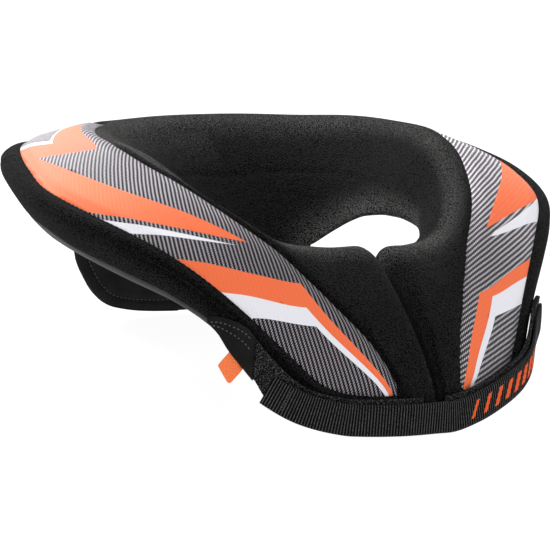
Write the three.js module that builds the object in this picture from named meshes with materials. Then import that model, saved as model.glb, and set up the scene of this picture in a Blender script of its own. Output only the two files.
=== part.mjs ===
// Padded neck roll with a front slit, printed side panels, a back flap and a webbing strap.
// Millimetres, +Z up, standing on its strap and flap at z = 0, the slit at the front (-Y).
import * as THREE from "three";

// Place of the neck's vertical axis along Y, so that the whole stands centred on the origin.
const AXIS_Y = -20.83;

// Air left between pieces that touch in the real thing, and how far beyond a piece's own edges (in
// millimetres and in degrees round the neck) the pad is read to keep that piece clear of it.
const GAP = 0.35;
const LOOK_PAST = 2;
const LOOK_ROUND = 2.5;

// Pad: the slit at the front and how far its two ends are rounded.
const SLIT_HALF = 1.7;
const END_RINGS = [
  { ahead: 0, inset: 3.4 },
  { ahead: 1.1, inset: 1.3 },
  { ahead: 3.6, inset: 0 },
];

// Pad: how far each corner of a section is cut back before it is rounded.
const CORNER_CUT = { neck: 8, rim: 13, edge: 8, base: 8 };
const MOST_CUT_SHARE = 0.42;
const INNER_BULGE = 4;
const SIDE_BULGE = 3.5;

// Pad: where the sinking of its soft rim and neck passes over, as shares along the inner wall and the
// underside, and how far toward the panel's seam the rim's sinking reaches over the face.
const WALL_SINK = { neck: 0.1, rim: 0.7 };
const UNDER_SINK = { none: 0.35, neck: 0.85 };
const FACE_SINK = { ofSeam: 0.85, most: 0.45 };

// Pad sections by angle round the neck from the slit. r is the distance from the neck's axis, z the
// height, each bulge how far a side of the section swells out of its chord, and each sink how far the
// soft rim or neck hangs below those corners.
const COLUMNS = [
  "angle", "neck_r", "neck_z", "rim_r", "rim_z", "edge_r", "edge_z", "base_r", "base_z",
  "face_bulge", "under_bulge", "rim_sink", "neck_sink",
];
const STATIONS = [
  [0, 42, 56, 52, 73.7, 116, 17, 109, 4.5, 7, -2, -1.7, 0],
  [12, 42, 57, 53, 75.2, 117, 17, 110, 4.5, 7, -2, -0.7, 0],
  [28, 44, 61, 56.5, 78.5, 114.5, 20, 109, 8.5, 7, -2, 3, 1],
  [48, 48.5, 68, 61.5, 84.5, 108.5, 46.5, 100.5, 28.8, 5, -2, 7.4, 4.8],
  [68, 51, 72, 67.5, 93.5, 116.5, 67.5, 101, 44, 2.5, -3, 6.5, 5.6],
  [90, 52, 73.5, 76.5, 103, 137.5, 82.3, 111.5, 53.5, 0.5, -5, 5, 5.3],
  [110, 51.5, 71, 91, 109.8, 151, 90, 118.5, 56, 0.5, -9, 1.2, 2.6],
  [132, 51, 62.5, 112.5, 109, 161.5, 92, 125.5, 52.5, 1, -14, 0, 1.5],
  [156, 50, 48, 122.5, 106.5, 164, 84.5, 128, 43, 1, -17, 0, 3.7],
  [180, 49, 41.8, 125, 105.8, 165, 80.5, 126, 37, 1, -18, 0, 2.5],
];
const STATION_ANGLES = [
  9, 11, 13.5, 16, 19, 22.5, 26, 30, 34, 38, 42, 46, 50, 55, 60, 65, 70, 75, 81, 87, 93, 100, 107, 114, 122,
  130, 139, 148, 156, 164, 172, 180,
];

// Long edges of the printed panel, as shares of the way across the face from the rim to the edge.
const PANEL_SEAMS = [
  { angle: 8.5, inner: 0.94, outer: 0.965 },
  { angle: 11, inner: 0.8, outer: 0.972 },
  { angle: 16, inner: 0.63, outer: 0.976 },
  { angle: 26, inner: 0.43, outer: 0.953 },
  { angle: 34, inner: 0.34, outer: 0.905 },
  { angle: 45, inner: 0.262, outer: 0.893 },
  { angle: 65, inner: 0.195, outer: 0.865 },
  { angle: 87, inner: 0.135, outer: 0.88 },
  { angle: 102, inner: 0.122, outer: 0.905 },
  { angle: 112, inner: 0.152, outer: 0.857 },
  { angle: 126, inner: 0.168, outer: 0.804 },
  { angle: 148, inner: 0.125, outer: 0.79 },
  { angle: 180, inner: 0.1, outer: 0.79 },
];

// Where the pad's mesh lines lie on the other runs of a section, and how finely each run is read.
const INNER_SHARES = [0, 0.1, 0.22, 0.4, 0.6, 0.77, 0.9];
const SIDE_SHARES = [0, 0.13, 0.3, 0.5, 0.7, 0.87];
const UNDER_SHARES = [0, 0.06, 0.15, 0.32, 0.5, 0.68, 0.85, 0.94];
const PANEL_STRIPS = 6;
const BEND_STEPS = 6;
const EDGE_STEPS = 16;

// Printed panels, sewn on from the front ends back over the shoulders.
const PANEL_THICK = 1.2;
const PANEL_FROM = 9;
const PANEL_TO = 148;

// Webbing strap round the front: the height of its lower edge by angle, minus on the left.
const STRAP_WIDTH = 15;
const STRAP_THICK = 1.6;
const STRAP_FROM = -40;
const STRAP_TO = 56;
const STRAP_RUN_R = 115;
const STRAP_STEPS = 48;
const STRAP_PATH = [
  { angle: -57, low: 28 },
  { angle: -48, low: 18.5 },
  { angle: -40, low: 10.2 },
  { angle: -32, low: 4 },
  { angle: -22, low: 0.3 },
  { angle: -14, low: 0 },
  { angle: 4, low: 0 },
  { angle: 12, low: 3.2 },
  { angle: 21, low: 8.2 },
  { angle: 33, low: 14.3 },
  { angle: 41, low: 18.5 },
  { angle: 49, low: 25 },
  { angle: 57, low: 32 },
];

// Hook-and-loop bands under the strap: how far they show above it, and end short of its lower edge.
const LOOP_THICK = 1.3;
const LOOP_FROM = 3;
const LOOP_TO = 43;
const LOOP_STEPS = 22;
const LOOP_EDGES = [
  { angle: 3, above: 2.2, short: 1.5 },
  { angle: 25, above: 1.8, short: 1.5 },
  { angle: 30, above: 2, short: 1.5 },
  { angle: 35, above: 4, short: 1.5 },
  { angle: 39.5, above: 7, short: 2.5 },
  { angle: 43, above: 9.5, short: 7.5 },
];

// Tabs sewn under the side band that hold the strap to the pad: their lower and upper edges.
const ANCHOR_THICK = 1.8;
const ANCHOR_FROM = 43.5;
const ANCHOR_TO = 56;
const ANCHOR_STEPS = 14;
const ANCHOR_EDGES = [
  { angle: 43.5, low: 20.5, high: 40.5 },
  { angle: 46, low: 25, high: 44.5 },
  { angle: 50, low: 32.5, high: 47 },
  { angle: 53, low: 40, high: 47.8 },
  { angle: 56, low: 44.5, high: 47 },
];

// Back flap under the rear of the pad, standing on its lower edge: its half width by share of height.
// Its mesh rows lie closer together toward the rounded lower edge.
const FLAP_THICK = 5;
const FLAP_FOOT_Y = 121;
const FLAP_LEAN = 2;
const FLAP_CURVE_R = 300;
const FLAP_STEPS_UP = 12;
const FLAP_STEPS_ROUND = 26;
const FLAP_CLOSER_LOW = 1.6;
const FLAP_ROWS = [
  { share: 0, half: 28 },
  { share: 0.05, half: 39 },
  { share: 0.13, half: 50 },
  { share: 0.28, half: 59 },
  { share: 0.63, half: 69.5 },
  { share: 1, half: 73.5 },
];

// Orange pull tab under the left anchor.
const TAB_HALF_WIDE = 6.3;
const TAB_HALF_TALL = 8.5;
const TAB_THICK = 1.4;
const TAB_ANGLE = -49.8;
const TAB_Z = 24.4;

const radians = THREE.MathUtils.degToRad;

// Smooth value through rows of [place, value], read at a place and held level beyond both ends.
function through(rows, place) {
  const last = rows.length - 1;
  const where = THREE.MathUtils.clamp(place, rows[0][0], rows[last][0]);
  let i = 0;
  while (i < last - 1 && where > rows[i + 1][0]) i += 1;
  const q = rows[i];
  const s = rows[i + 1];
  const p = i > 0 ? rows[i - 1] : q;
  const t = i + 2 <= last ? rows[i + 2] : s;
  const h = s[0] - q[0];
  const u = (where - q[0]) / h;
  const m0 = ((s[1] - p[1]) / (s[0] - p[0])) * h;
  const m1 = ((t[1] - q[1]) / (t[0] - q[0])) * h;
  const u2 = u * u;
  const u3 = u2 * u;
  return (2 * u3 - 3 * u2 + 1) * q[1] + (u3 - 2 * u2 + u) * m0 + (3 * u2 - 2 * u3) * s[1] + (u3 - u2) * m1;
}

// Value of a pad column at an angle, the same on both sides and level across the front and the back.
function station(name, angle) {
  const k = COLUMNS.indexOf(name);
  const rows = STATIONS.map((row) => [row[0], row[k]]);
  const front = [-rows[1][0], rows[1][1]];
  const last = rows.length - 2;
  const back = [360 - rows[last][0], rows[last][1]];
  return through([front, ...rows, back], Math.abs(angle));
}

// Value of one named column of a short table at a place.
const read = (rows, by, name, where) => through(rows.map((row) => [row[by], row[name]]), where);

// Rounded outline of the pad's section: four runs, from the middle of one corner to the next, each a
// row of [r, z] points. The order is inner wall, sloping face, side band, underside.
function runsAt(angle) {
  const names = ["neck", "rim", "edge", "base"];
  const corner = names.map((n) => new THREE.Vector2(station(n + "_r", angle), station(n + "_z", angle)));
  const bulge = [INNER_BULGE, station("face_bulge", angle), SIDE_BULGE, station("under_bulge", angle)];
  const edges = corner.map((from, i) => {
    const chord = corner[(i + 1) % 4].clone().sub(from);
    const out = new THREE.Vector2(-chord.y, chord.x).normalize();
    const at = (u) => from.clone().addScaledVector(chord, u).addScaledVector(out, 4 * bulge[i] * u * (1 - u));
    const heading = (u) => chord.clone().addScaledVector(out, 4 * bulge[i] * (1 - 2 * u)).normalize();
    const length = chord.length();
    const start = Math.min(CORNER_CUT[names[i]] / length, MOST_CUT_SHARE);
    const stop = 1 - Math.min(CORNER_CUT[names[(i + 1) % 4]] / length, MOST_CUT_SHARE);
    return { at, heading, start, stop };
  });
  const bends = edges.map((next, i) => {
    const before = edges[(i + 3) % 4];
    const p = before.at(before.stop);
    const q = next.at(next.start);
    const d = before.heading(before.stop);
    const e = next.heading(next.start);
    const cross = d.x * e.y - d.y * e.x;
    const reach = ((q.x - p.x) * e.y - (q.y - p.y) * e.x) / cross;
    const control = p.clone().addScaledVector(d, reach);
    return (u) => {
      const v = 1 - u;
      return new THREE.Vector2(
        v * v * p.x + 2 * u * v * control.x + u * u * q.x,
        v * v * p.y + 2 * u * v * control.y + u * u * q.y,
      );
    };
  });
  return edges.map((edge, i) => {
    const points = [];
    const whole = 2 * BEND_STEPS;
    const span = edge.stop - edge.start;
    for (let k = 0; k < BEND_STEPS; k += 1) points.push(bends[i](0.5 + k / whole));
    for (let k = 0; k <= EDGE_STEPS; k += 1) points.push(edge.at(edge.start + (span * k) / EDGE_STEPS));
    for (let k = 1; k <= BEND_STEPS; k += 1) points.push(bends[(i + 1) % 4](k / whole));
    return points;
  });
}

// Point and outward direction a share of the way along a run.
function along(run, share) {
  const lengths = [0];
  for (let i = 1; i < run.length; i += 1) lengths.push(lengths[i - 1] + run[i].distanceTo(run[i - 1]));
  const want = share * lengths[lengths.length - 1];
  let i = 1;
  while (i < run.length - 1 && lengths[i] < want) i += 1;
  const step = lengths[i] - lengths[i - 1];
  const at = run[i - 1].clone().lerp(run[i], (want - lengths[i - 1]) / step);
  const back = run[Math.max(i - 2, 0)];
  const ahead = run[Math.min(i + 1, run.length - 1)];
  const heading = ahead.clone().sub(back).normalize();
  return { at, out: new THREE.Vector2(-heading.y, heading.x) };
}

// How far the pad hangs below its plain section, a share of the way along one of its four runs.
function sinkAt(run, share, angle, seamIn) {
  const rim = station("rim_sink", angle);
  const neck = station("neck_sink", angle);
  const smooth = THREE.MathUtils.smoothstep;
  const up = smooth(share, WALL_SINK.neck, WALL_SINK.rim);
  const faceEnd = Math.min(seamIn * FACE_SINK.ofSeam, FACE_SINK.most);
  const byRun = [
    rim * up + neck * (1 - up),
    rim * (1 - smooth(share, 0, faceEnd)),
    0,
    neck * smooth(share, UNDER_SINK.none, UNDER_SINK.neck),
  ];
  return byRun[run];
}

// The pad's loop at an angle: points and outward directions in the order of its four runs.
function loopAt(angle) {
  const runs = runsAt(angle);
  const seamIn = read(PANEL_SEAMS, "angle", "inner", angle);
  const seamOut = read(PANEL_SEAMS, "angle", "outer", angle);
  const face = [0, seamIn * 0.5];
  for (let k = 0; k <= PANEL_STRIPS; k += 1) face.push(seamIn + ((seamOut - seamIn) * k) / PANEL_STRIPS);
  const shares = [INNER_SHARES, face, SIDE_SHARES, UNDER_SHARES];
  return runs.flatMap((run, i) => shares[i].map((share) => {
    const { at, out } = along(run, share);
    at.y -= sinkAt(i, share, angle, seamIn);
    return { at, out };
  }));
}
const FIRST_PANEL_POINT = INNER_SHARES.length + 2;

// Point in space of a section point [r, z] at an angle.
function place(r, z, angle) {
  const a = radians(angle);
  return new THREE.Vector3(r * Math.sin(a), AXIS_Y - r * Math.cos(a), z);
}

// Widest reach of the pad between two heights at an angle.
function reachAt(angle, low, high) {
  let reach = 0;
  for (const run of runsAt(angle)) {
    for (const p of run) if (p.y >= low && p.y <= high) reach = Math.max(reach, p.x);
  }
  return reach;
}

// Lowest point of the pad between two distances from the axis at an angle.
function undersideAt(angle, near, far) {
  let lowest = Infinity;
  for (const run of runsAt(angle)) {
    for (const p of run) if (p.x >= near && p.x <= far) lowest = Math.min(lowest, p.y);
  }
  return lowest;
}

// The triangles turned, where the shell they close would be inside out.
function facingOut(triangles) {
  const volume = triangles.reduce((sum, [a, b, c]) => sum + a.dot(b.clone().cross(c)), 0);
  return volume > 0 ? triangles : triangles.map((t) => [t[0], t[2], t[1]]);
}

function meshOf(name, shell, colour, roughness) {
  const triangles = facingOut(shell);
  const positions = new Float32Array(triangles.length * 9);
  triangles.forEach((t, i) => t.forEach((p, k) => positions.set([p.x, p.y, p.z], i * 9 + k * 3)));
  const geometry = new THREE.BufferGeometry();
  geometry.setAttribute("position", new THREE.BufferAttribute(positions, 3));
  geometry.computeVertexNormals();
  const material = new THREE.MeshStandardMaterial({ color: colour, roughness, metalness: 0 });
  const mesh = new THREE.Mesh(geometry, material);
  mesh.name = name;
  return mesh;
}

function quad(triangles, a, b, c, d) {
  triangles.push([a, b, c], [a, c, d]);
}

// Closed slab between two matching grids of points, `under` and `over`.
function slab(under, over) {
  const triangles = [];
  const rows = under.length;
  const cols = under[0].length;
  for (let i = 0; i + 1 < rows; i += 1) {
    for (let j = 0; j + 1 < cols; j += 1) {
      quad(triangles, over[i][j], over[i][j + 1], over[i + 1][j + 1], over[i + 1][j]);
      quad(triangles, under[i][j], under[i + 1][j], under[i + 1][j + 1], under[i][j + 1]);
    }
    quad(triangles, under[i][0], over[i][0], over[i + 1][0], under[i + 1][0]);
    const e = cols - 1;
    quad(triangles, over[i][e], under[i][e], under[i + 1][e], over[i + 1][e]);
  }
  for (let j = 0; j + 1 < cols; j += 1) {
    quad(triangles, over[0][j], under[0][j], under[0][j + 1], over[0][j + 1]);
    const e = rows - 1;
    quad(triangles, under[e][j], over[e][j], over[e][j + 1], under[e][j + 1]);
  }
  return triangles;
}

// The same triangles seen in the mirror plane x = 0.
const mirrored = (triangles) => triangles.map((t) => t.map((p) => new THREE.Vector3(-p.x, p.y, p.z)));

function buildPad() {
  const half = END_RINGS.map(({ ahead, inset }) =>
    loopAt(0).map(({ at, out }) => {
      const p = at.clone().addScaledVector(out, -inset);
      return new THREE.Vector3(SLIT_HALF + ahead, AXIS_Y - p.x, p.y);
    }),
  );
  for (const angle of STATION_ANGLES) half.push(loopAt(angle).map(({ at }) => place(at.x, at.y, angle)));
  const flip = (ring) => ring.map((p) => new THREE.Vector3(-p.x, p.y, p.z));
  const rings = [...half, ...half.slice(0, -1).reverse().map(flip)];
  const triangles = [];
  const n = rings[0].length;
  for (let i = 0; i + 1 < rings.length; i += 1) {
    for (let j = 0; j < n; j += 1) {
      const k = (j + 1) % n;
      quad(triangles, rings[i][j], rings[i][k], rings[i + 1][k], rings[i + 1][j]);
    }
  }
  const outline = half[0].map((p) => new THREE.Vector2(p.y, p.z));
  const end = rings[rings.length - 1];
  const faces = THREE.ShapeUtils.triangulateShape(outline, []);
  const spread = faces.reduce((sum, f) => sum + THREE.ShapeUtils.area(f.map((k) => outline[k])), 0);
  const same = spread * THREE.ShapeUtils.area(outline) > 0;
  for (const [a, b, c] of faces) {
    const [p, q] = same ? [b, c] : [c, b];
    triangles.push([rings[0][a], rings[0][q], rings[0][p]]);
    triangles.push([end[a], end[p], end[q]]);
  }
  return triangles;
}

function buildPanel() {
  const grid = (lift) =>
    STATION_ANGLES.filter((a) => a >= PANEL_FROM && a <= PANEL_TO).map((angle) =>
      loopAt(angle)
        .slice(FIRST_PANEL_POINT, FIRST_PANEL_POINT + PANEL_STRIPS + 1)
        .map(({ at, out }) => {
          const p = at.clone().addScaledVector(out, lift);
          return place(p.x, p.y, angle);
        }),
    );
  return slab(grid(GAP), grid(GAP + PANEL_THICK));
}

const strapLow = (angle) => Math.max(0, read(STRAP_PATH, "angle", "low", angle));

// Height of the strap at an angle: its width measured square to its slope.
function strapHigh(angle) {
  const rise = (strapLow(angle + 1) - strapLow(angle - 1)) / (2 * radians(1) * STRAP_RUN_R);
  return strapLow(angle) + STRAP_WIDTH * Math.sqrt(1 + rise * rise);
}

const anchorLow = (angle) => read(ANCHOR_EDGES, "angle", "low", Math.abs(angle));
const anchorHigh = (angle) => read(ANCHOR_EDGES, "angle", "high", Math.abs(angle));
const loopLow = (angle) => strapLow(angle) + read(LOOP_EDGES, "angle", "short", Math.abs(angle));
const loopHigh = (angle) => strapHigh(angle) + read(LOOP_EDGES, "angle", "above", Math.abs(angle));

// Distance from the axis of the first layer round the front, clear of the pad at every height it covers.
function layerReach(angle) {
  const reaches = [-LOOK_ROUND, 0, LOOK_ROUND].map((d) => {
    const a = THREE.MathUtils.clamp(angle + d, -ANCHOR_TO, ANCHOR_TO);
    const turn = Math.abs(a);
    let top = strapHigh(a);
    if (turn > LOOP_FROM && turn < LOOP_TO) top = loopHigh(a);
    if (turn >= LOOP_TO) top = Math.max(top, anchorHigh(a));
    return reachAt(a, strapLow(a) - LOOK_PAST, top + LOOK_PAST);
  });
  return Math.max(...reaches) + GAP;
}

// Distance of the strap's inner face from the axis, outside the bands and tabs under it.
const strapReach = (angle) => layerReach(angle) + ANCHOR_THICK + GAP;

// Upright band from one angle to another between two heights.
function band(from, to, steps, low, high, reach, thick) {
  const grid = (more) => {
    const rows = [];
    for (let i = 0; i <= steps; i += 1) {
      const angle = from + ((to - from) * i) / steps;
      const r = reach(angle) + more;
      rows.push([place(r, low(angle), angle), place(r, high(angle), angle)]);
    }
    return rows;
  };
  return slab(grid(0), grid(thick));
}

const buildStrap = () => band(STRAP_FROM, STRAP_TO, STRAP_STEPS, strapLow, strapHigh, strapReach, STRAP_THICK);

const buildLoopBand = (side) =>
  band(side * LOOP_FROM, side * LOOP_TO, LOOP_STEPS, loopLow, loopHigh, layerReach, LOOP_THICK);

const buildAnchor = (side) =>
  band(side * ANCHOR_FROM, side * ANCHOR_TO, ANCHOR_STEPS, anchorLow, anchorHigh, layerReach, ANCHOR_THICK);

function buildFlap() {
  const outer = [];
  const inner = [];
  for (let i = 0; i <= FLAP_STEPS_UP; i += 1) {
    const share = (i / FLAP_STEPS_UP) ** FLAP_CLOSER_LOW;
    const half = read(FLAP_ROWS, "share", "half", share);
    outer.push([]);
    inner.push([]);
    for (let j = 0; j <= FLAP_STEPS_ROUND; j += 1) {
      const x = half * ((2 * j) / FLAP_STEPS_ROUND - 1);
      const y = FLAP_FOOT_Y + FLAP_LEAN * share - (x * x) / (2 * FLAP_CURVE_R);
      const far = Math.hypot(x, y);
      const angle = 180 - THREE.MathUtils.radToDeg(Math.atan2(Math.abs(x), y));
      const top = undersideAt(angle, far - FLAP_THICK - LOOK_PAST, far + LOOK_PAST) - GAP;
      outer[i].push(new THREE.Vector3(x, AXIS_Y + y, top * share));
      inner[i].push(new THREE.Vector3(x, AXIS_Y + y - FLAP_THICK, top * share));
    }
  }
  return slab(inner, outer);
}

function buildTab() {
  const r = layerReach(TAB_ANGLE) - TAB_THICK - GAP;
  const corners = [
    [0, TAB_HALF_TALL],
    [TAB_HALF_WIDE, 0],
    [0, -TAB_HALF_TALL],
    [-TAB_HALF_WIDE, 0],
  ];
  const at = (p, reach) => place(reach, TAB_Z + p[1], TAB_ANGLE + THREE.MathUtils.radToDeg(p[0] / r));
  const inner = corners.map((p) => at(p, r));
  const outer = corners.map((p) => at(p, r + TAB_THICK));
  const triangles = [];
  quad(triangles, outer[0], outer[3], outer[2], outer[1]);
  quad(triangles, inner[0], inner[1], inner[2], inner[3]);
  for (let i = 0; i < 4; i += 1) {
    const k = (i + 1) % 4;
    quad(triangles, inner[i], outer[i], outer[k], inner[k]);
  }
  return triangles;
}

const BLACK_JERSEY = 0x1c1c1e;
const BLACK_WEB = 0x151517;
const PRINT_GREY = 0x6a666c;
const ORANGE = 0xff7a45;

const panel = buildPanel();

const neckRoll = new THREE.Group();
neckRoll.name = "neck_roll";
neckRoll.add(meshOf("collar_pad", buildPad(), BLACK_JERSEY, 0.95));
neckRoll.add(meshOf("panel_right", panel, PRINT_GREY, 0.6));
neckRoll.add(meshOf("panel_left", mirrored(panel), PRINT_GREY, 0.6));
neckRoll.add(meshOf("back_flap", buildFlap(), BLACK_JERSEY, 0.9));
neckRoll.add(meshOf("anchor_right", buildAnchor(1), BLACK_JERSEY, 0.8));
neckRoll.add(meshOf("anchor_left", buildAnchor(-1), BLACK_JERSEY, 0.8));
neckRoll.add(meshOf("loop_band_right", buildLoopBand(1), BLACK_WEB, 1));
neckRoll.add(meshOf("loop_band_left", buildLoopBand(-1), BLACK_WEB, 1));
neckRoll.add(meshOf("front_strap", buildStrap(), BLACK_WEB, 0.85));
neckRoll.add(meshOf("pull_tab", buildTab(), ORANGE, 0.8));

export default neckRoll;
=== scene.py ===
"""Looks of a padded motocross neck roll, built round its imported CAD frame.

Tables are in millimetres and degrees in the CAD frame: +Z up, the slit toward -Y. Angles run round the
neck's axis from the slit and are minus at the left of the picture. A share runs along one side of the
pad's section, from 0 at one rounded corner to 1 at the next.
"""
import math

import bmesh
import bpy
import numpy as np
from mathutils import Matrix, Vector
from mathutils.geometry import delaunay_2d_cdt


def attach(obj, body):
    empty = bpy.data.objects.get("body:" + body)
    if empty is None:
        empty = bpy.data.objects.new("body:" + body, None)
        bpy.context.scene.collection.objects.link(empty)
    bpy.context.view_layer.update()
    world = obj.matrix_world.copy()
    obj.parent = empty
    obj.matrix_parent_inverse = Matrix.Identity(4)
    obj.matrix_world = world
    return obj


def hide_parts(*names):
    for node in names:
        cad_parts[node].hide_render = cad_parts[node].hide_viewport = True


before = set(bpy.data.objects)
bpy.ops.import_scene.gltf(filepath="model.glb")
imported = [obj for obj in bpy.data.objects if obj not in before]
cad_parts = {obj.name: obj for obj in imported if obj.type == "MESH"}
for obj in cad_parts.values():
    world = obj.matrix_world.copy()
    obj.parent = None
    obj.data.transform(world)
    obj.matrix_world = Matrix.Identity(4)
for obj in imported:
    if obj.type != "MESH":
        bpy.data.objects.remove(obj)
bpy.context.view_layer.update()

MM = 0.001
BODY = "root"
SIGN = {"left": -1, "right": 1}

# Pad section, as in the CAD part.
AXIS_Y = -20.83
GAP = 0.35
CORNER_CUT = {"neck": 8, "rim": 13, "edge": 8, "base": 8}
CORNERS = ["neck", "rim", "edge", "base"]
MOST_CUT_SHARE = 0.42
INNER_BULGE = 4
SIDE_BULGE = 3.5
COLUMNS = [
    "angle", "neck_r", "neck_z", "rim_r", "rim_z", "edge_r", "edge_z", "base_r", "base_z",
    "face_bulge", "under_bulge",
]
STATIONS = [
    [0, 42, 56, 52, 73.7, 116, 17, 109, 4.5, 7, -2],
    [12, 42, 57, 53, 75.2, 117, 17, 110, 4.5, 7, -2],
    [28, 44, 61, 56.5, 78.5, 114.5, 20, 109, 8.5, 7, -2],
    [48, 48.5, 68, 61.5, 84.5, 108.5, 46.5, 100.5, 28.8, 5, -2],
    [68, 51, 72, 67.5, 93.5, 116.5, 67.5, 101, 44, 2.5, -3],
    [90, 52, 73.5, 76.5, 103, 137.5, 82.3, 111.5, 53.5, 0.5, -5],
    [110, 51.5, 71, 91, 109.8, 151, 90, 118.5, 56, 0.5, -9],
    [132, 51, 62.5, 112.5, 109, 161.5, 92, 125.5, 52.5, 1, -14],
    [156, 50, 48, 122.5, 106.5, 164, 84.5, 128, 43, 1, -17],
    [180, 49, 41.8, 125, 105.8, 165, 80.5, 126, 37, 1, -18],
]
INNER, FACE, SIDE, UNDER = range(4)

# Printed panels: angle, and the shares of the face where the inner and outer seams lie. Then their ends.
PANEL_SEAMS = [
    (8.5, 0.94, 0.965), (11, 0.8, 0.972), (16, 0.63, 0.976), (26, 0.43, 0.953), (34, 0.34, 0.905),
    (45, 0.262, 0.893), (65, 0.195, 0.865), (87, 0.135, 0.85),
]
PANEL_FROM = 9
PANEL_TO = 148
PANEL_THICK = 1.0

# The seams past the shoulder, where each side has its own: angle and share of the face.
INNER_SEAM_BACK = {
    "left": [(98, 0.139), (103, 0.137), (108, 0.127), (112, 0.116), (116, 0.09), (123, 0.047), (132, 0.012),
             (140, 0.02), (148, 0.04)],
    "right": [(96, 0.135), (102, 0.14), (108, 0.158), (111, 0.175), (116, 0.22), (126, 0.27), (148, 0.25)],
}
OUTER_SEAM_BACK = {
    "left": [(102, 0.875), (112, 0.83), (126, 0.79), (148, 0.78)],
    "right": [(97, 0.8), (102, 0.755), (110, 0.72), (126, 0.73), (148, 0.74)],
}

# Edges of the print's stripes, each through three points of angle and share of the face.
STRIPE_EDGES = {
    "wedge_top": [(115.2, 0.715), (83.9, 0.474), (53.4, 0.363)],
    "wedge_low": [(53.4, 0.363), (73.7, 0.642), (89.6, 0.858)],
    "notch": [(111.3, 0.279), (113.1, 0.494), (115.2, 0.715)],
    "arm": [(137, 0.15), (120.6, 0.205), (111.3, 0.279)],
    "sliver_top": [(86, 0.861), (72.6, 0.68), (55.7, 0.446)],
    "sliver_low": [(55.7, 0.446), (68.9, 0.683), (79.3, 0.876)],
    "band_back": [(66.7, 0.866), (52.3, 0.64), (34.6, 0.424)],
    "band_front": [(34.6, 0.424), (20.9, 0.658), (10.4, 0.948)],
    "middle_back": [(54.1, 0.879), (43.7, 0.706), (32.2, 0.559)],
    "middle_front": [(32.2, 0.559), (20.8, 0.732), (11.3, 0.96)],
    "tail_back": [(45.3, 0.88), (37.4, 0.738), (29.2, 0.643)],
    "tail_front": [(29.2, 0.643), (20.1, 0.788), (12.2, 0.968)],
}

# Edges that lie elsewhere on the right panel.
RIGHT_EDGES = {
    "wedge_top": [(104.5, 0.73), (85, 0.465), (54, 0.365)],
    "wedge_low": [(54, 0.365), (70.5, 0.6), (86.5, 0.9)],
    "sliver_low": [(52, 0.42), (66.5, 0.7), (76, 0.9)],
    "band_back": [(59.7, 0.881), (44.9, 0.653), (29.9, 0.505)],
    "band_front": [(29.9, 0.505), (17.2, 0.697), (9.1, 0.963)],
    "middle_back": [(54.7, 0.91), (44.2, 0.729), (33.8, 0.589)],
    "middle_front": [(33.8, 0.589), (20, 0.742), (10.7, 0.972)],
    "tail_back": [(47.2, 0.948), (38.4, 0.774), (30.3, 0.669)],
    "tail_front": [(30.3, 0.669), (19.4, 0.8), (11.4, 0.98)],
}

# Two ends of the pad at the slit: place of each end, minus past the middle, how far it draws back at the
# top, how it is rounded, how much more at the top, the heights between which that grows, and the angle
# where the plain pad starts. Then the height from which an end draws back, and over how far.
ENDS = {
    "left": {"edge": -2.1, "lean": 0.9, "ahead": 2.4, "inset": 2.0, "more": 2.7, "top": (20, 72),
             "angle": 13.5},
    "right": {"edge": 5.5, "lean": 0, "ahead": 3.4, "inset": 3.4, "more": 1.3, "top": (25, 70),
              "angle": 18},
}
LEAN_FROM = 10
LEAN_OVER = 30

# How far the soft rim and the neck's edge sink below the plain pad, by angle, how much more the rim sinks at
# the right, and how far the lower edge is lifted at the left.
RIM_SINK = [
    (0, -1.7), (10, -1), (16, 0.25), (22, 1.7), (28, 3), (34, 4.3), (40, 6), (46, 7.2), (52, 7.6),
    (64, 6.8), (75, 5.8), (85, 5.6), (98, 3.9), (110, 1.2), (120, 0), (180, 0),
]
RIGHT_RIM_SINK = [(0, 0.8), (12, 0.8), (30, 0.95), (36, 1.2), (46, 0.6), (60, 0)]
NECK_SINK = [
    (0, 0), (22, 0), (34, 2.2), (46, 5.2), (58, 6.3), (66, 5.8), (72, 4.7), (76, 4), (82, 3.5), (88, 3.7),
    (94, 3.5), (100, 2.9), (106, 2.5), (112, 1.6), (118, 1.2), (124, 0.8), (130, 1.5), (136, 2.5),
    (142, 3.2), (148, 4), (160, 3.4), (180, 2.5),
]
LEFT_LOW_LIFT = [
    (50, 0), (55, 1.2), (60, 2.2), (66, 2.4), (80, 2.2), (92, 1.6), (104, 0.4), (110, 0), (117, -1),
    (122, -1.6), (128, -1), (140, -0.7), (160, 0),
]
SINK_SHORT_OF_SEAM = 2
SINK_LEAST_SHARE = 0.02
SINK_MOST_SHARE = 0.45

# Shares over which these pass into each other or into the plain pad: where each starts, and over how far.
RIM_ABOVE_NECK = (0.1, 0.6)
NECK_UNDER = (0.35, 0.5)
LIFT_UNDER = (0, 0.5)
LIFT_SIDE = (0.4, 0.6)

# Seams of the cover. Inner wall: from the neck's edge up to the back. Side band: the angle of the seam
# across it, the share of the face where that starts, and the share of the side where the smooth lower cloth
# begins. Crease and arc: angle and share.
INNER_SEAM = [
    (80, 0.03), (87, 0.087), (102, 0.183), (120, 0.288), (139, 0.43), (148, 0.493), (155, 0.513),
    (165, 0.534), (180, 0.52),
]
CROSS_SEAM = 121.6
CROSS_FROM = 0.84
LOWER_CLOTH = 0.48
CREASE = [(164, 0.55), (166.2, 0.492), (168.1, 0.397), (169.8, 0.299), (170.7, 0.216)]
ARC_SEAM = [(0, 0.06), (5.6, 0.077), (7.9, 0.096), (11, 0.15)]

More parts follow.
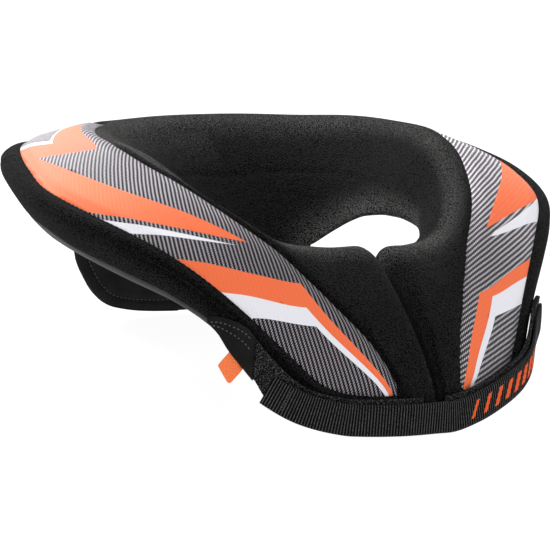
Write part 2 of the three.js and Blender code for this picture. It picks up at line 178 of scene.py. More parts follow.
# Strap, hook-and-loop bands and anchor tabs round the front, as in the CAD part.
STRAP_WIDTH = 15
STRAP_THICK = 1.6
STRAP_FROM = -40
STRAP_TO = 56
STRAP_RUN_R = 115
STRAP_PATH = [
    (-57, 28), (-48, 18.5), (-40, 10.2), (-32, 4), (-22, 0.3), (-14, 0), (4, 0), (12, 3.2), (21, 8.2),
    (33, 14.3), (41, 18.5), (49, 25), (57, 32),
]
LOOP_THICK = 1.3
LOOP_FROM = 3
LOOP_TO = 43
LOOP_ABOVE = [(3, 2.2), (25, 1.8), (30, 2), (35, 4), (39.5, 7), (43, 9.5)]
LOOP_SHORT = [(3, 1.5), (35, 1.5), (39.5, 2.5), (43, 7.5)]
ANCHOR_THICK = 1.8
ANCHOR_FROM = 43.5
ANCHOR_TO = 56
ANCHOR_LOW = [(43.5, 20.5), (46, 25), (50, 32.5), (53, 40), (56, 44.5)]
ANCHOR_HIGH = [(43.5, 40.5), (46, 44.5), (50, 47), (53, 47.8), (56, 47)]

# How far up, down and round the pad's reach is looked for, so that nothing laid on it cuts in.
LOOK_PAST = 2
LOOK_ROUND = 2.5

# Flap under the back of the pad: thickness, place and curve as in the CAD part, and half its width by share
# of its height, a little rounder and wider than the CAD part.
FLAP_THICK = 5
FLAP_FOOT_Y = 121
FLAP_LEAN = 2
FLAP_CURVE_R = 300
FLAP_HALF = [
    (0, 8), (0.025, 26), (0.06, 38.5), (0.13, 50.7), (0.28, 60.6), (0.45, 67.1), (0.63, 72.2), (1, 77),
]

# Pull tab under the left anchor, as in the CAD part.
TAB_HALF_WIDE = 6.3
TAB_HALF_TALL = 8.5
TAB_THICK = 1.4
TAB_ANGLE = -49.8
TAB_Z = 24.4


def through(rows, place):
    """Smooth value through rows of (place, value), held level beyond both ends."""
    last = len(rows) - 1
    where = min(max(place, rows[0][0]), rows[last][0])
    i = 0
    while i < last - 1 and where > rows[i + 1][0]:
        i += 1
    q, s = rows[i], rows[i + 1]
    p = rows[i - 1] if i > 0 else q
    t = rows[i + 2] if i + 2 <= last else s
    h = s[0] - q[0]
    u = (where - q[0]) / h
    m0 = (s[1] - p[1]) / (s[0] - p[0]) * h
    m1 = (t[1] - q[1]) / (t[0] - q[0]) * h
    a = 2 * u**3 - 3 * u**2 + 1
    return a * q[1] + (u**3 - 2 * u**2 + u) * m0 + (1 - a) * s[1] + (u**3 - u**2) * m1


def between(rows, place):
    """Value on straight lines through rows of (place, value), held level beyond both ends."""
    return np.interp(place, *zip(*rows))


def station(name, angle):
    """Value of a pad column at an angle from 0 to 180, level across the front and the back."""
    k = COLUMNS.index(name)
    rows = [(row[0], row[k]) for row in STATIONS]
    front = (-rows[1][0], rows[1][1])
    back = (360 - rows[-2][0], rows[-2][1])
    return through([front, *rows, back], angle)


def section(angle, bend_steps=10, edge_steps=40):
    """Rounded outline of the pad at an angle: four runs of (r, z) points, from corner to corner."""
    corner = np.array([[station(name + axis, angle) for axis in ("_r", "_z")] for name in CORNERS])
    bulge = [INNER_BULGE, station("face_bulge", angle), SIDE_BULGE, station("under_bulge", angle)]
    chord = np.roll(corner, -1, 0) - corner
    length = np.hypot(chord[:, 0], chord[:, 1])
    out = np.stack([-chord[:, 1], chord[:, 0]], -1) / length[:, None]
    cut = np.array([CORNER_CUT[name] for name in CORNERS])
    first = np.minimum(cut / length, MOST_CUT_SHARE)
    final = 1 - np.minimum(np.roll(cut, -1) / length, MOST_CUT_SHARE)

    def at(i, u):
        return corner[i] + chord[i] * u + out[i] * 4 * bulge[i] * u * (1 - u)

    def heading(i, u):
        return chord[i] + out[i] * 4 * bulge[i] * (1 - 2 * u)

    def bend(i, u):
        p, d = at(i - 1, final[i - 1]), heading(i - 1, final[i - 1])
        q, e = at(i, first[i]), heading(i, first[i])
        reach = ((q[0] - p[0]) * e[1] - (q[1] - p[1]) * e[0]) / (d[0] * e[1] - d[1] * e[0])
        return (1 - u) ** 2 * p + 2 * u * (1 - u) * (p + d * reach) + u**2 * q

    leaving = np.linspace(0.5, 1, bend_steps, endpoint=False)[:, None]
    coming = np.linspace(0, 0.5, bend_steps + 1)[1:, None]
    runs = []
    for i in range(4):
        straight = np.linspace(first[i], final[i], edge_steps + 1)[:, None]
        runs.append(np.concatenate([bend(i, leaving), at(i, straight), bend((i + 1) % 4, coming)]))
    return runs


ANGLES = np.arange(0.0, 180.5, 1.0)
SHARES = np.linspace(0, 1, 129)


def sample_surface():
    """Radius and height of the pad by run, angle and share, and the length of each run."""
    radius = np.zeros((4, len(ANGLES), len(SHARES)))
    height = np.zeros_like(radius)
    length = np.zeros((4, len(ANGLES)))
    for a, angle in enumerate(ANGLES):
        for k, run in enumerate(section(angle)):
            steps = np.hypot(*np.diff(run, axis=0).T)
            along = np.concatenate([[0], np.cumsum(steps)])
            length[k, a] = along[-1]
            radius[k, a] = np.interp(SHARES * along[-1], along, run[:, 0])
            height[k, a] = np.interp(SHARES * along[-1], along, run[:, 1])
    return radius, height, length


RADIUS, HEIGHT, LENGTH = sample_surface()


def polar(radius, angle, height):
    """Points at a distance from the neck's axis, a signed angle and a height."""
    turn = np.radians(angle)
    return np.stack([radius * np.sin(turn), AXIS_Y - radius * np.cos(turn), height + 0 * turn], -1)


def on_pad(run, angle, share):
    """Points of the pad's surface at signed angles and shares along a run."""
    angle, share = np.broadcast_arrays(np.asarray(angle, float), np.asarray(share, float))
    a = np.clip(np.abs(angle), 0, ANGLES[-1])
    i = np.minimum(a.astype(int), len(ANGLES) - 2)
    u = a - i
    s = np.clip(share, 0, 1) * (len(SHARES) - 1)
    j = np.minimum(s.astype(int), len(SHARES) - 2)
    v = s - j

    def read(table):
        low = (1 - v) * table[run, i, j] + v * table[run, i, j + 1]
        high = (1 - v) * table[run, i + 1, j] + v * table[run, i + 1, j + 1]
        return (1 - u) * low + u * high

    return polar(read(RADIUS), angle, read(HEIGHT))


def unit(vectors):
    return vectors / np.maximum(np.linalg.norm(vectors, axis=-1, keepdims=True), 1e-9)


ANGLE_STEP = 0.6
SHARE_STEP = 0.008


def out_of_pad(run, angle, share):
    """Outward directions at those points."""
    round_the_neck = on_pad(run, angle + ANGLE_STEP, share) - on_pad(run, angle - ANGLE_STEP, share)
    along_the_run = on_pad(run, angle, share + SHARE_STEP) - on_pad(run, angle, share - SHARE_STEP)
    return unit(np.cross(along_the_run, round_the_neck))


def smooth(x):
    """0 up to 0, 1 from 1 on, and an even S between."""
    x = np.clip(x, 0, 1)
    return x * x * (3 - 2 * x)


def ramp(x, start, over):
    """The same S, from a start over a distance."""
    return smooth((x - start) / over)


def groove(off, depth, width):
    """A depth in the middle of a seam that fades to 0 away from it."""
    return depth * np.exp(-((off / width) ** 2))


def seam_shares(column, back):
    """Share of one long seam at each angle, by side: shared rows first, then the side's own."""
    shared = [(row[0], row[column]) for row in PANEL_SEAMS]
    return {side: np.array([through(shared + rows, a) for a in ANGLES]) for side, rows in back.items()}


SEAM_IN = seam_shares(1, INNER_SEAM_BACK)
SEAM_OUT = seam_shares(2, OUTER_SEAM_BACK)


def seam_at(seam, angle):
    """Share of the face where a seam lies at signed angles."""
    left, right = (np.interp(np.abs(angle), ANGLES, seam[side]) for side in ("left", "right"))
    return np.where(np.asarray(angle) < 0, left, right)


def panel_depth(angle, share):
    """How far inside a printed panel a point of the face lies, in millimetres, and minus outside."""
    turn = np.abs(angle)
    length = np.interp(turn, ANGLES, LENGTH[FACE])
    radius = np.hypot(on_pad(FACE, angle, share)[..., 0], on_pad(FACE, angle, share)[..., 1] - AXIS_Y)
    from_in = (share - seam_at(SEAM_IN, angle)) * length
    from_out = (seam_at(SEAM_OUT, angle) - share) * length
    from_front = np.radians(turn - PANEL_FROM) * radius
    from_back = np.radians(PANEL_TO - turn) * radius
    return np.minimum.reduce([from_in, from_out, from_front, from_back])


# Making meshes.


def mesh_object(name, points, faces, materials, face_material=None, uv=None, painted_light=None):
    """Smooth-shaded mesh object from points in millimetres, with the painted light at each point for its
    material.
    """
    mesh = bpy.data.meshes.new(name)
    mesh.from_pydata((np.asarray(points) * MM).tolist(), [], [tuple(map(int, f)) for f in faces])
    for material in materials:
        mesh.materials.append(material)
    if face_material is not None:
        mesh.polygons.foreach_set("material_index", np.asarray(face_material, np.int32))
    if uv is not None:
        layer = mesh.uv_layers.new(name="flat")
        loops = np.zeros(len(mesh.loops), np.int32)
        mesh.loops.foreach_get("vertex_index", loops)
        layer.data.foreach_set("uv", np.asarray(uv, np.float32)[loops].ravel())
    if painted_light is not None:
        mesh.attributes.new("painted_light", "FLOAT", "POINT").data.foreach_set("value", np.asarray(painted_light, np.float32))
    mesh.polygons.foreach_set("use_smooth", np.ones(len(mesh.polygons), bool))
    mesh.update()
    obj = bpy.data.objects.new(name, mesh)
    bpy.context.scene.collection.objects.link(obj)
    return obj


def facing_out(points, faces):
    """The faces, turned where the shell that they close is inside out."""
    volume = 0.0
    for face in faces:
        a = points[face[0]]
        for b, c in zip(face[1:-1], face[2:]):
            volume += np.dot(a, np.cross(points[b], points[c]))
    return faces if volume > 0 else [tuple(reversed(face)) for face in faces]


def slab(over, under):
    """Points and faces of a closed slab between two matching grids of points."""
    rows, cols = over.shape[:2]
    count = rows * cols
    ids = np.arange(count).reshape(rows, cols)
    quads = np.stack([ids[:-1, :-1], ids[:-1, 1:], ids[1:, 1:], ids[1:, :-1]], -1).reshape(-1, 4)
    rim = np.concatenate([ids[0, :-1], ids[:-1, -1], ids[-1, :0:-1], ids[:0:-1, 0]])
    ahead = np.roll(rim, -1)
    walls = np.stack([ahead, rim, rim + count, ahead + count], -1)
    faces = [tuple(f) for f in np.concatenate([quads, quads[:, ::-1] + count, walls])]
    points = np.concatenate([over.reshape(-1, 3), under.reshape(-1, 3)])
    return points, facing_out(points, faces)


def joined(parts):
    """One list of points and one of faces from several."""
    points, faces, start = [], [], 0
    for part_points, part_faces in parts:
        points.append(np.asarray(part_points))
        faces += [tuple(start + k for k in face) for face in part_faces]
        start += len(part_points)
    return np.concatenate(points), faces


# Rings of a stitch: place along its length, size and lift, as shares.
STITCH_RINGS = [(-0.5, 0.25, -0.5), (-0.3, 0.9, 0.2), (0, 1, 0.45), (0.3, 0.9, 0.2), (0.5, 0.25, -0.5)]
STITCH_SIDES = 6


def stitch(middle, along, out, length, radius):
    """One thread lying on cloth: a short rod of a few sides with pointed ends."""
    aside = np.cross(along, out)
    points, faces = [], []
    for place, size, lift in STITCH_RINGS:
        for k in range(STITCH_SIDES):
            turn = math.tau * k / STITCH_SIDES
            ring = aside * math.cos(turn) * size + out * (math.sin(turn) * size + lift)
            points.append(middle + along * length * place + ring * radius)
    last = len(points) - STITCH_SIDES
    for low in range(0, last, STITCH_SIDES):
        high = low + STITCH_SIDES
        for k in range(STITCH_SIDES):
            n = (k + 1) % STITCH_SIDES
            faces.append((low + k, low + n, high + n, high + k))
    faces.append(tuple(reversed(range(STITCH_SIDES))))
    faces.append(tuple(range(last, last + STITCH_SIDES)))
    return points, faces


def stitch_row(path, outs, pitch, length, radius):
    """Threads a pitch apart along a path of points with outward directions."""
    along = np.concatenate([[0], np.cumsum(np.linalg.norm(np.diff(path, axis=0), axis=1))])

    def at(table, place):
        return np.array([np.interp(place, along, column) for column in table.T])

    made = []
    for place in np.arange(pitch / 2, along[-1], pitch):
        heading = unit(at(path, place + length / 2) - at(path, place - length / 2))
        out = unit(at(outs, place))
        out = unit(out - heading * np.dot(out, heading))
        made.append(stitch(at(path, place), heading, out, length, radius))
    return joined(made)


# Materials.


def add(tree, kind, inputs=None, **settings):
    """A shader node with its settings, and its inputs set to values or linked to sockets."""
    node = tree.nodes.new("ShaderNode" + kind)
    for key, value in settings.items():
        setattr(node, key, value)
    for key, value in (inputs or {}).items():
        if isinstance(value, bpy.types.NodeSocket):
            tree.links.new(value, node.inputs[key])
        else:
            node.inputs[key].default_value = value
    return node


def start_material(name):
    """A new material with its node tree and principled shader."""
    material = bpy.data.materials.new(name)
    material.use_nodes = True
    tree = material.node_tree
    return material, tree, tree.nodes["Principled BSDF"]


def set_shader(shader, **values):
    """Sets values of a principled shader by the names of its inputs."""
    for key, value in values.items():
        name = "Specular IOR Level" if key == "specular" else key.replace("_", " ").title()
        shader.inputs[name].default_value = value


def place_mm(tree):
    """Object coordinates in millimetres."""
    place = add(tree, "TexCoord").outputs["Object"]
    return add(tree, "VectorMath", {0: place, 1: (1 / MM,) * 3}, operation="MULTIPLY").outputs["Vector"]


def on_flat(tree):
    """Places on the cloth laid flat."""
    return add(tree, "UVMap", uv_map="flat").outputs["UV"]


def painted_light_value(tree):
    """Painted light at each point of the mesh: on the cover its colour is lighter, on a panel lighter or
    darker.
    """
    return add(tree, "Attribute", attribute_name="painted_light").outputs["Fac"]


def maths(tree, operation, a, b=0.0, c=0.0):
    return add(tree, "Math", {0: a, 1: b, 2: c}, operation=operation).outputs["Value"]


def times(tree, a, b):
    return maths(tree, "MULTIPLY", a, b)


def scaled(tree, value, gain, base):
    """A value times a gain, plus a base."""
    return maths(tree, "MULTIPLY_ADD", value, gain, base)


def sine(tree, place, pitch):
    """Wave of a place, one turn to a pitch."""
    return maths(tree, "SINE", times(tree, place, math.tau / pitch))


def blended(tree, factor, low, high):
    """Colour between two colours."""
    return add(tree, "Mix", {0: factor, 6: low, 7: high}, data_type="RGBA").outputs[2]


def noise(tree, where, scale, detail=2.0, roughness=0.5):
    return add(tree, "TexNoise", {"Vector": where, "Scale": scale, "Detail": detail,
                                  "Roughness": roughness}).outputs["Fac"]


def cells(tree, where, scale):
    return add(tree, "TexVoronoi", {"Vector": where, "Scale": scale}).outputs["Distance"]


def stretch(tree, value, low, high):
    """A value from low to high, read as 0 to 1."""
    return add(tree, "MapRange", {"Value": value, "From Min": low, "From Max": high}).outputs["Result"]


def dress(tree, shader, colour, height, depth_mm, strength=1.0, **values):
    """Gives a shader its colour, its bump and its other values."""
    tree.links.new(colour, shader.inputs["Base Color"])
    bump = add(tree, "Bump", {"Height": height, "Strength": strength, "Distance": depth_mm * MM})
    tree.links.new(bump.outputs["Normal"], shader.inputs["Normal"])
    set_shader(shader, **values)


def grey(value, warm=0.0):
    return (value * (1 + warm), value, value * (1 - warm), 1)


def brushed_cloth(name, dark, light, raised, grain, sheen, depth):
    """Black brushed knit: speckled fibres, painted light that makes them lighter on the rim and the neck's
    edge, and a soft sheen.
    """
    material, tree, shader = start_material(name)
    where = place_mm(tree)
    fibres = stretch(tree, noise(tree, where, scale=1 / grain, roughness=0.6), low=0.43, high=0.7)
    patches = stretch(tree, noise(tree, where, scale=0.035), low=0.3, high=0.7)
    shade = times(tree, fibres, scaled(tree, patches, gain=0.4, base=0.7))
    # Painted light: the fibres go from their light tone to the raised tone where the mesh's painted-light
    # value is high.
    fibre = blended(tree, painted_light_value(tree), grey(light, warm=-0.03), grey(raised, warm=0.02))
    height = maths(tree, "ADD", fibres, noise(tree, where, scale=0.45 / grain))
    dress(tree, shader, blended(tree, shade, grey(dark), fibre), height, depth, roughness=1.0,
          sheen_weight=sheen, sheen_roughness=0.2, sheen_tint=(0.9, 0.89, 0.88, 1), specular=0.02)
    return material


TWILL_DASH = 1.2
# How much painted light lightens the twill's colour, and how much painted shade darkens the other inks far
# back.
TWILL_PAINTED_LIGHT_GAIN = 0.55
FAR_PAINTED_SHADE_GAIN = -0.25


def ribs(tree, flat, direction, pitch):
    """Height of a printed twill on the flat cloth: slanting ribs, each a row of short dashes."""
    def heading(degrees):
        turn = math.radians(degrees)
        ahead = (math.cos(turn), math.sin(turn), 0)
        return add(tree, "VectorMath", {0: flat, 1: ahead}, operation="DOT_PRODUCT").outputs["Value"]

    along, across = heading(direction), heading(direction + 90)
    rib = sine(tree, scaled(tree, noise(tree, flat, scale=0.06), gain=0.7, base=across), pitch)
    step = sine(tree, scaled(tree, across, gain=0.75, base=along), TWILL_DASH)
    return scaled(tree, step, gain=0.8, base=rib)


def printed_cloth(name, twill, dark, light, rib_share):
    """Printed cloth in one ink: the twill shows by its share between a dark and a light tone, with painted
    light and shade.
    """
    material, tree, shader = start_material(name)
    flat = on_flat(tree)
    rib = stretch(tree, ribs(tree, flat, twill["direction"], twill["pitch"]), twill["from"], twill["to"])
    tone_factor = stretch(tree, noise(tree, flat, scale=0.9, detail=3), low=0.25, high=0.75)
    shade = times(tree, rib, scaled(tree, tone_factor, gain=0.35, base=0.75))
    # Painted light: the twill's colour is made lighter further back; the other inks take painted shade,
    # darker far back.
    if rib_share == 1:
        gain = scaled(tree, maths(tree, "MINIMUM", painted_light_value(tree), 1.0), TWILL_PAINTED_LIGHT_GAIN, 1.0)
    else:
        shade = scaled(tree, shade, rib_share, 1 - rib_share)
        far = maths(tree, "MAXIMUM", maths(tree, "SUBTRACT", painted_light_value(tree), 1.0), 0.0)
        gain = scaled(tree, far, FAR_PAINTED_SHADE_GAIN, 1.0)
    ink = blended(tree, shade, dark, light)
    ink_with_painted_light = add(tree, "VectorMath", {0: ink, "Scale": gain}, operation="SCALE").outputs["Vector"]
    height = scaled(tree, noise(tree, flat, scale=3.0), gain=0.4, base=rib)
    dress(tree, shader, ink_with_painted_light, height, depth_mm=0.12, strength=0.6, roughness=0.6, sheen_weight=0.06,
          sheen_roughness=0.25, specular=0.12)
    return material


KNIT_DARK, KNIT_LIGHT = 0.55, 1.5


def smooth_knit(name, tone, sheen, gloss):
    """Fine tight knit over thin foam: small even loops."""
    material, tree, shader = start_material(name)
    where = place_mm(tree)
    loops = cells(tree, where, scale=1.5)
    patches = stretch(tree, noise(tree, where, scale=0.08, detail=3), low=0.2, high=0.9)
    shade = times(tree, stretch(tree, loops, low=0.0, high=0.7), patches)
    dress(tree, shader, blended(tree, shade, grey(tone * KNIT_DARK), grey(tone * KNIT_LIGHT)), loops,
          depth_mm=0.12, strength=0.7, roughness=0.8, sheen_weight=sheen, sheen_roughness=0.3, specular=gloss)
    return material


# Bars printed on the strap: where the row runs, its pitch and slant, its place across, and the share of the
# pitch that a bar takes at the row's start and end.
BAR_FROM, BAR_TO = 18, 78
BAR_PITCH = 7.5
BAR_SLANT = 0.55
BAR_LOW, BAR_HIGH = 3.4, 11.6
BAR_SHARE_FROM, BAR_SHARE_TO = 0.22, 0.72
# Tones of the bars' ink and of the plain webbing, between which the ribs' painted shade and highlight run.
BAR_INK = ((0.7, 0.09, 0.02, 1), (0.95, 0.16, 0.045, 1))
WEBBING_INK = (grey(0.0008), grey(0.11))
RIB_PITCH = 1.35


def bars(tree, run, width):
    """1 on a row of slanting printed bars that widen along the strap, and 0 off them."""
    place = scaled(tree, width, -BAR_SLANT, run)
    share = add(tree, "MapRange", {"Value": place, "From Min": BAR_FROM, "From Max": BAR_TO,
                                   "To Min": BAR_SHARE_FROM, "To Max": BAR_SHARE_TO}).outputs["Result"]
    step = maths(tree, "FRACT", maths(tree, "DIVIDE", maths(tree, "SUBTRACT", place, BAR_FROM), BAR_PITCH))
    shown = maths(tree, "LESS_THAN", step, share)
    for value, low, high in ((place, BAR_FROM, BAR_TO), (width, BAR_LOW, BAR_HIGH)):
        shown = times(tree, shown, maths(tree, "GREATER_THAN", value, low))
        shown = times(tree, shown, maths(tree, "LESS_THAN", value, high))
    return shown


def webbing_cloth(name):
    """Black webbing: its cross ribs are modelled, with painted shade between them and a painted highlight on
    their crests; the threads are bump.
    """
    material, tree, shader = start_material(name)
    run, width, _ = add(tree, "SeparateXYZ", {0: on_flat(tree)}).outputs
    wave = maths(tree, "ABSOLUTE", sine(tree, run, 2 * RIB_PITCH))
    threads = noise(tree, place_mm(tree), scale=2.6, detail=3, roughness=0.6)
    # Painted shade in the hollows between the ribs and a painted highlight on their crests, times the
    # threads' random tone.
    tone_factor = times(tree, stretch(tree, wave, low=0.72, high=1.0), stretch(tree, threads, low=0.35, high=0.65))
    plain, printed = (blended(tree, tone_factor, *ink) for ink in (WEBBING_INK, BAR_INK))
    colour = blended(tree, bars(tree, run, width), plain, printed)
    dress(tree, shader, colour, threads, depth_mm=0.15, strength=0.8, roughness=0.75, sheen_weight=0.02,
          sheen_roughness=0.3, specular=0.06)
    return material


PILE_DARK, PILE_LIGHT = grey(0.001), grey(0.08)


def pile(name):
    """Hook-and-loop pile: a dense mat of tiny dark loops."""
    material, tree, shader = start_material(name)
    where = place_mm(tree)
    fibres = noise(tree, where, scale=3.2, detail=4, roughness=0.7)
    height = scaled(tree, fibres, gain=0.8, base=cells(tree, where, scale=1.6))
    shade = stretch(tree, height, low=0.85, high=1.25)
    dress(tree, shader, blended(tree, shade, PILE_DARK, PILE_LIGHT), height, depth_mm=0.5, roughness=0.95,
          sheen_weight=0.02, sheen_roughness=0.3, specular=0.04)
    return material


TAPE_DARK, TAPE_LIGHT = (0.8, 0.12, 0.02, 1), (1.0, 0.25, 0.06, 1)


def orange_tape(name):
    """Orange woven tape: warmer in the hollows of the weave."""
    material, tree, shader = start_material(name)
    threads = noise(tree, place_mm(tree), scale=2.2, detail=3, roughness=0.6)
    shade = stretch(tree, threads, low=0.3, high=0.75)
    dress(tree, shader, blended(tree, shade, TAPE_DARK, TAPE_LIGHT), threads, depth_mm=0.12, strength=0.7,
          roughness=0.6, sheen_weight=0.1)
    return material


THREAD_DARK, THREAD_LIGHT = 0.6, 1.4


def thread(name, tone):
    material, tree, shader = start_material(name)
    twist = noise(tree, place_mm(tree), scale=5.0)
    dress(tree, shader, blended(tree, twist, grey(tone * THREAD_DARK), grey(tone * THREAD_LIGHT)), twist,
          depth_mm=0.05, strength=0.5, roughness=0.5, sheen_weight=0.2)
    return material


# The jersey's raised tone is painted light on the rim and the neck's edge.
JERSEY = brushed_cloth("black_jersey", dark=0.0006, light=0.02, raised=0.17, grain=0.6, sheen=0.09, depth=0.7)
# The lower cloth is a smoother knit whose tone is lighter than the jersey's: its own tone, lifted by painted
# light from below.
LOWER = smooth_knit("lower_cloth", tone=0.04, sheen=0.06, gloss=0.2)
FLAP_CLOTH = smooth_knit("flap_knit", tone=0.016, sheen=0.02, gloss=0.05)
TAB_CLOTH = smooth_knit("tab_laminate", tone=0.012, sheen=0.02, gloss=0.06)
WEBBING = webbing_cloth("black_webbing")
PILE = pile("loop_pile")
TAPE = orange_tape("orange_tape")
DARK_THREAD = thread("dark_thread", tone=0.008)
THREAD = thread("black_thread", tone=0.03)
ASH_THREAD = thread("ash_thread", tone=0.08)

# Inks of the print: dark and light tones, and the share of each in which the twill shows.
ORANGE_INK = ((0.78, 0.135, 0.048, 1), (0.88, 0.175, 0.066, 1), 0.35)
WHITE_INK = ((0.66, 0.66, 0.71, 1), (0.8, 0.8, 0.85, 1), 0.25)
# The right twill's tones are lighter than the left's as painted light: the same cloth, lit more on the right.
TWILL_INK_AND_PAINTED_LIGHT = {
    "left": (grey(0.004), (0.34, 0.31, 0.345, 1), 1),
    "right": ((0.04, 0.036, 0.04, 1), (0.62, 0.59, 0.63, 1), 1),
}
TWILL = {
    "left": {"direction": 140, "pitch": 1.85, "from": 0.0, "to": 0.85},
    "right": {"direction": 23, "pitch": 2.15, "from": 0.1, "to": 1.2},
}


# Pieces.


def finish_piece(obj, node):
    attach(obj, BODY)
    if node:
        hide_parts(node)
    return obj


# Points round the pad's section: how many on each run, and the share of each.
LOOP_COUNTS = (56, 84, 32, 34)
LOOP_SHARES = [np.linspace(0, 1, count, endpoint=False) for count in LOOP_COUNTS]
LOOP_RUN = np.concatenate([np.full(len(shares), run) for run, shares in enumerate(LOOP_SHARES)])
LOOP_SHARE = np.concatenate(LOOP_SHARES)

# Rings of the pad: steps round an end and on to the plain pad, then angles, closer at the cross seam and the
# crease. Caps close the ends: scales of their rings, and how far they bulge.
ROUND_STEPS = 10
BLEND_STEPS = 12
RING_ANGLES = np.concatenate([
    np.arange(12, 119, 1.5), np.arange(119.6, 123.6, 0.4), np.arange(124.5, 161, 1.5),
    np.arange(162, 174, 0.6), np.arange(174.5, 181, 1.1),
])
CAP_SCALES = np.array([0.25, 0.5, 0.72, 0.88])
CAP_BULGE = 0.5


def sink(run, angle, share):
    """How far the soft rim and neck hang below the plain pad, and minus where the lower edge is lifted."""
    turn = np.abs(angle)
    rim = between(RIM_SINK, turn) + (angle > 0) * between(RIGHT_RIM_SINK, turn)
    neck = between(NECK_SINK, turn)
    if run == INNER:
        up = ramp(share, *RIM_ABOVE_NECK)
        return rim * up + neck * (1 - up)
    if run == FACE:
        short = SINK_SHORT_OF_SEAM / np.interp(turn, ANGLES, LENGTH[FACE])
        reach = np.clip(seam_at(SEAM_IN, angle) - short, SINK_LEAST_SHARE, SINK_MOST_SHARE)
        return rim * (1 - smooth(share / reach))
    lift = (angle < 0) * between(LEFT_LOW_LIFT, turn)
    if run == UNDER:
        return neck * ramp(share, *NECK_UNDER) - lift * (1 - ramp(share, *LIFT_UNDER))
    return -lift * ramp(share, *LIFT_SIDE)


def pad_loop(angle):
    """Points of the pad all round its section, each at its own signed angle."""
    runs = []
    for run in range(4):
        turn, share = angle[LOOP_RUN == run], LOOP_SHARE[LOOP_RUN == run]
        points = on_pad(run, turn, share)
        points[:, 2] -= sink(run, turn, share)
        runs.append(points)
    return np.concatenate(runs)


def half_rings(side):
    """Rings of one half of the pad from its end at the slit to the back, with the angle of each point."""
    sign, end = SIGN[side], ENDS[side]
    ones = np.ones(len(LOOP_RUN))
    front = pad_loop(0 * ones)
    front_r = AXIS_Y - front[:, 1]
    heading = np.roll(front, -1, 0) - np.roll(front, 1, 0)
    out = unit(np.stack([0 * ones, heading[:, 2], -heading[:, 1]], -1))
    out *= np.sign(np.sum(out * (front - front.mean(0))))
    top_from, top_to = end["top"]
    more = 1 + end["more"] * ramp(front[:, 2], top_from, top_to - top_from)
    first = pad_loop(end["angle"] * ones)[:, 0]
    edge = end["edge"] + end["lean"] * ramp(front[:, 2], LEAN_FROM, LEAN_OVER)
    turns = [math.pi / 2 * k / ROUND_STEPS for k in range(ROUND_STEPS + 1)]
    shares = [k / BLEND_STEPS for k in range(1, BLEND_STEPS)]
    ahead = end["ahead"] * more
    places = [edge + ahead * (1 - math.cos(turn)) for turn in turns]
    places += [(1 - share) * (edge + ahead) + share * first for share in shares]
    angles = [np.degrees(np.arcsin(x / front_r)) for x in places]
    angles += [angle * ones for angle in RING_ANGLES[RING_ANGLES >= end["angle"]]]
    rings = np.array([pad_loop(sign * angle) for angle in angles])
    for ring, turn in zip(rings, turns):
        ring -= out * (end["inset"] * more * (1 - math.sin(turn)))[:, None]
    return rings, sign * np.array(angles)


# Soft unevenness: pairs of waves that are multiplied, each as radians to a millimetre along x, y and z, and
# its start.
LUMP_HEIGHT = 0.22
LUMP_WAVES = [
    (((0.083, 0, 0), 1), ((0, 0.071, 0), 2)),
    (((0.05, 0, -0.11), 0), ((0, 0.13, 0), 0.5)),
]

# Seams by depth and width, and where they fade in or out: start and distance, minus where the place falls.
CROSS_GROOVE = (0.8, 0.9)
CROSS_ON_FACE = (CROSS_FROM, 0.03)
CROSS_ON_SIDE = (-LOWER_CLOTH, 0.1)
LOWER_GROOVE = (0.6, 0.9)
INNER_GROOVE = (0.5, 1.3)
INNER_FADE = (80, 8)
ARC_GROOVE = (0.5, 1.1)
ARC_FADE = (-ARC_SEAM[-1][0], 2)
CREASE_GROOVE = (0.6, 1.2)
CREASE_FROM = (0.15, 0.08)
CREASE_TO = (-0.56, 0.06)

# Bed under a panel: depth at its seam, how much deeper inside and over how far. Beside it the cover swells.
BED_DEPTH = 0.9
BED_DEEPER = 1.3
BED_OVER = 1.5
BESIDE_SWELL = 0.5
BESIDE_GROOVE = (1.4, 2.6)


def pad_relief(angle, place):
    """How far the cover stands off the plain pad: under the panels, along the seams and between them."""
    relief = LUMP_HEIGHT * sum(np.sin(place @ a + p) * np.sin(place @ b + q) for (a, p), (b, q) in LUMP_WAVES)
    turn = np.abs(angle)
    radius = np.hypot(place[..., 0], place[..., 1] - AXIS_Y)
    cross = groove(np.radians(turn - CROSS_SEAM) * radius, *CROSS_GROOVE)
    for run in range(4):
        span = LOOP_RUN == run
        share = LOOP_SHARE[span][None, :]
        turns = turn[:, span]
        length = np.interp(turns, ANGLES, LENGTH[run])
        at_right = angle[:, span] > 0
        if run == FACE:
            depth = panel_depth(angle[:, span], np.repeat(share, len(angle), 0))
            bed = -BED_DEEPER * smooth(depth / BED_OVER) - BED_DEPTH
            relief[:, span] += np.where(depth > 0, bed, BESIDE_SWELL - groove(depth, *BESIDE_GROOVE))
            relief[:, span] -= cross[:, span] * ramp(share, *CROSS_ON_FACE)
            arc = (share - between(ARC_SEAM, turns)) * length
            relief[:, span] -= groove(arc, *ARC_GROOVE) * at_right * ramp(-turns, *ARC_FADE)
        if run == INNER:
            off = (share - between(INNER_SEAM, turns)) * length
            relief[:, span] -= groove(off, *INNER_GROOVE) * ramp(turns, *INNER_FADE)
            fold = between([(-along, a) for a, along in CREASE], -share)
            crease = groove(np.radians(turns - fold) * radius[:, span], *CREASE_GROOVE)
            relief[:, span] -= crease * at_right * ramp(share, *CREASE_FROM) * ramp(-share, *CREASE_TO)
        if run == SIDE:
            relief[:, span] -= cross[:, span] * ramp(-share, *CROSS_ON_SIDE)
            relief[:, span] -= groove((share - LOWER_CLOTH) * length, *LOWER_GROOVE)
    return relief


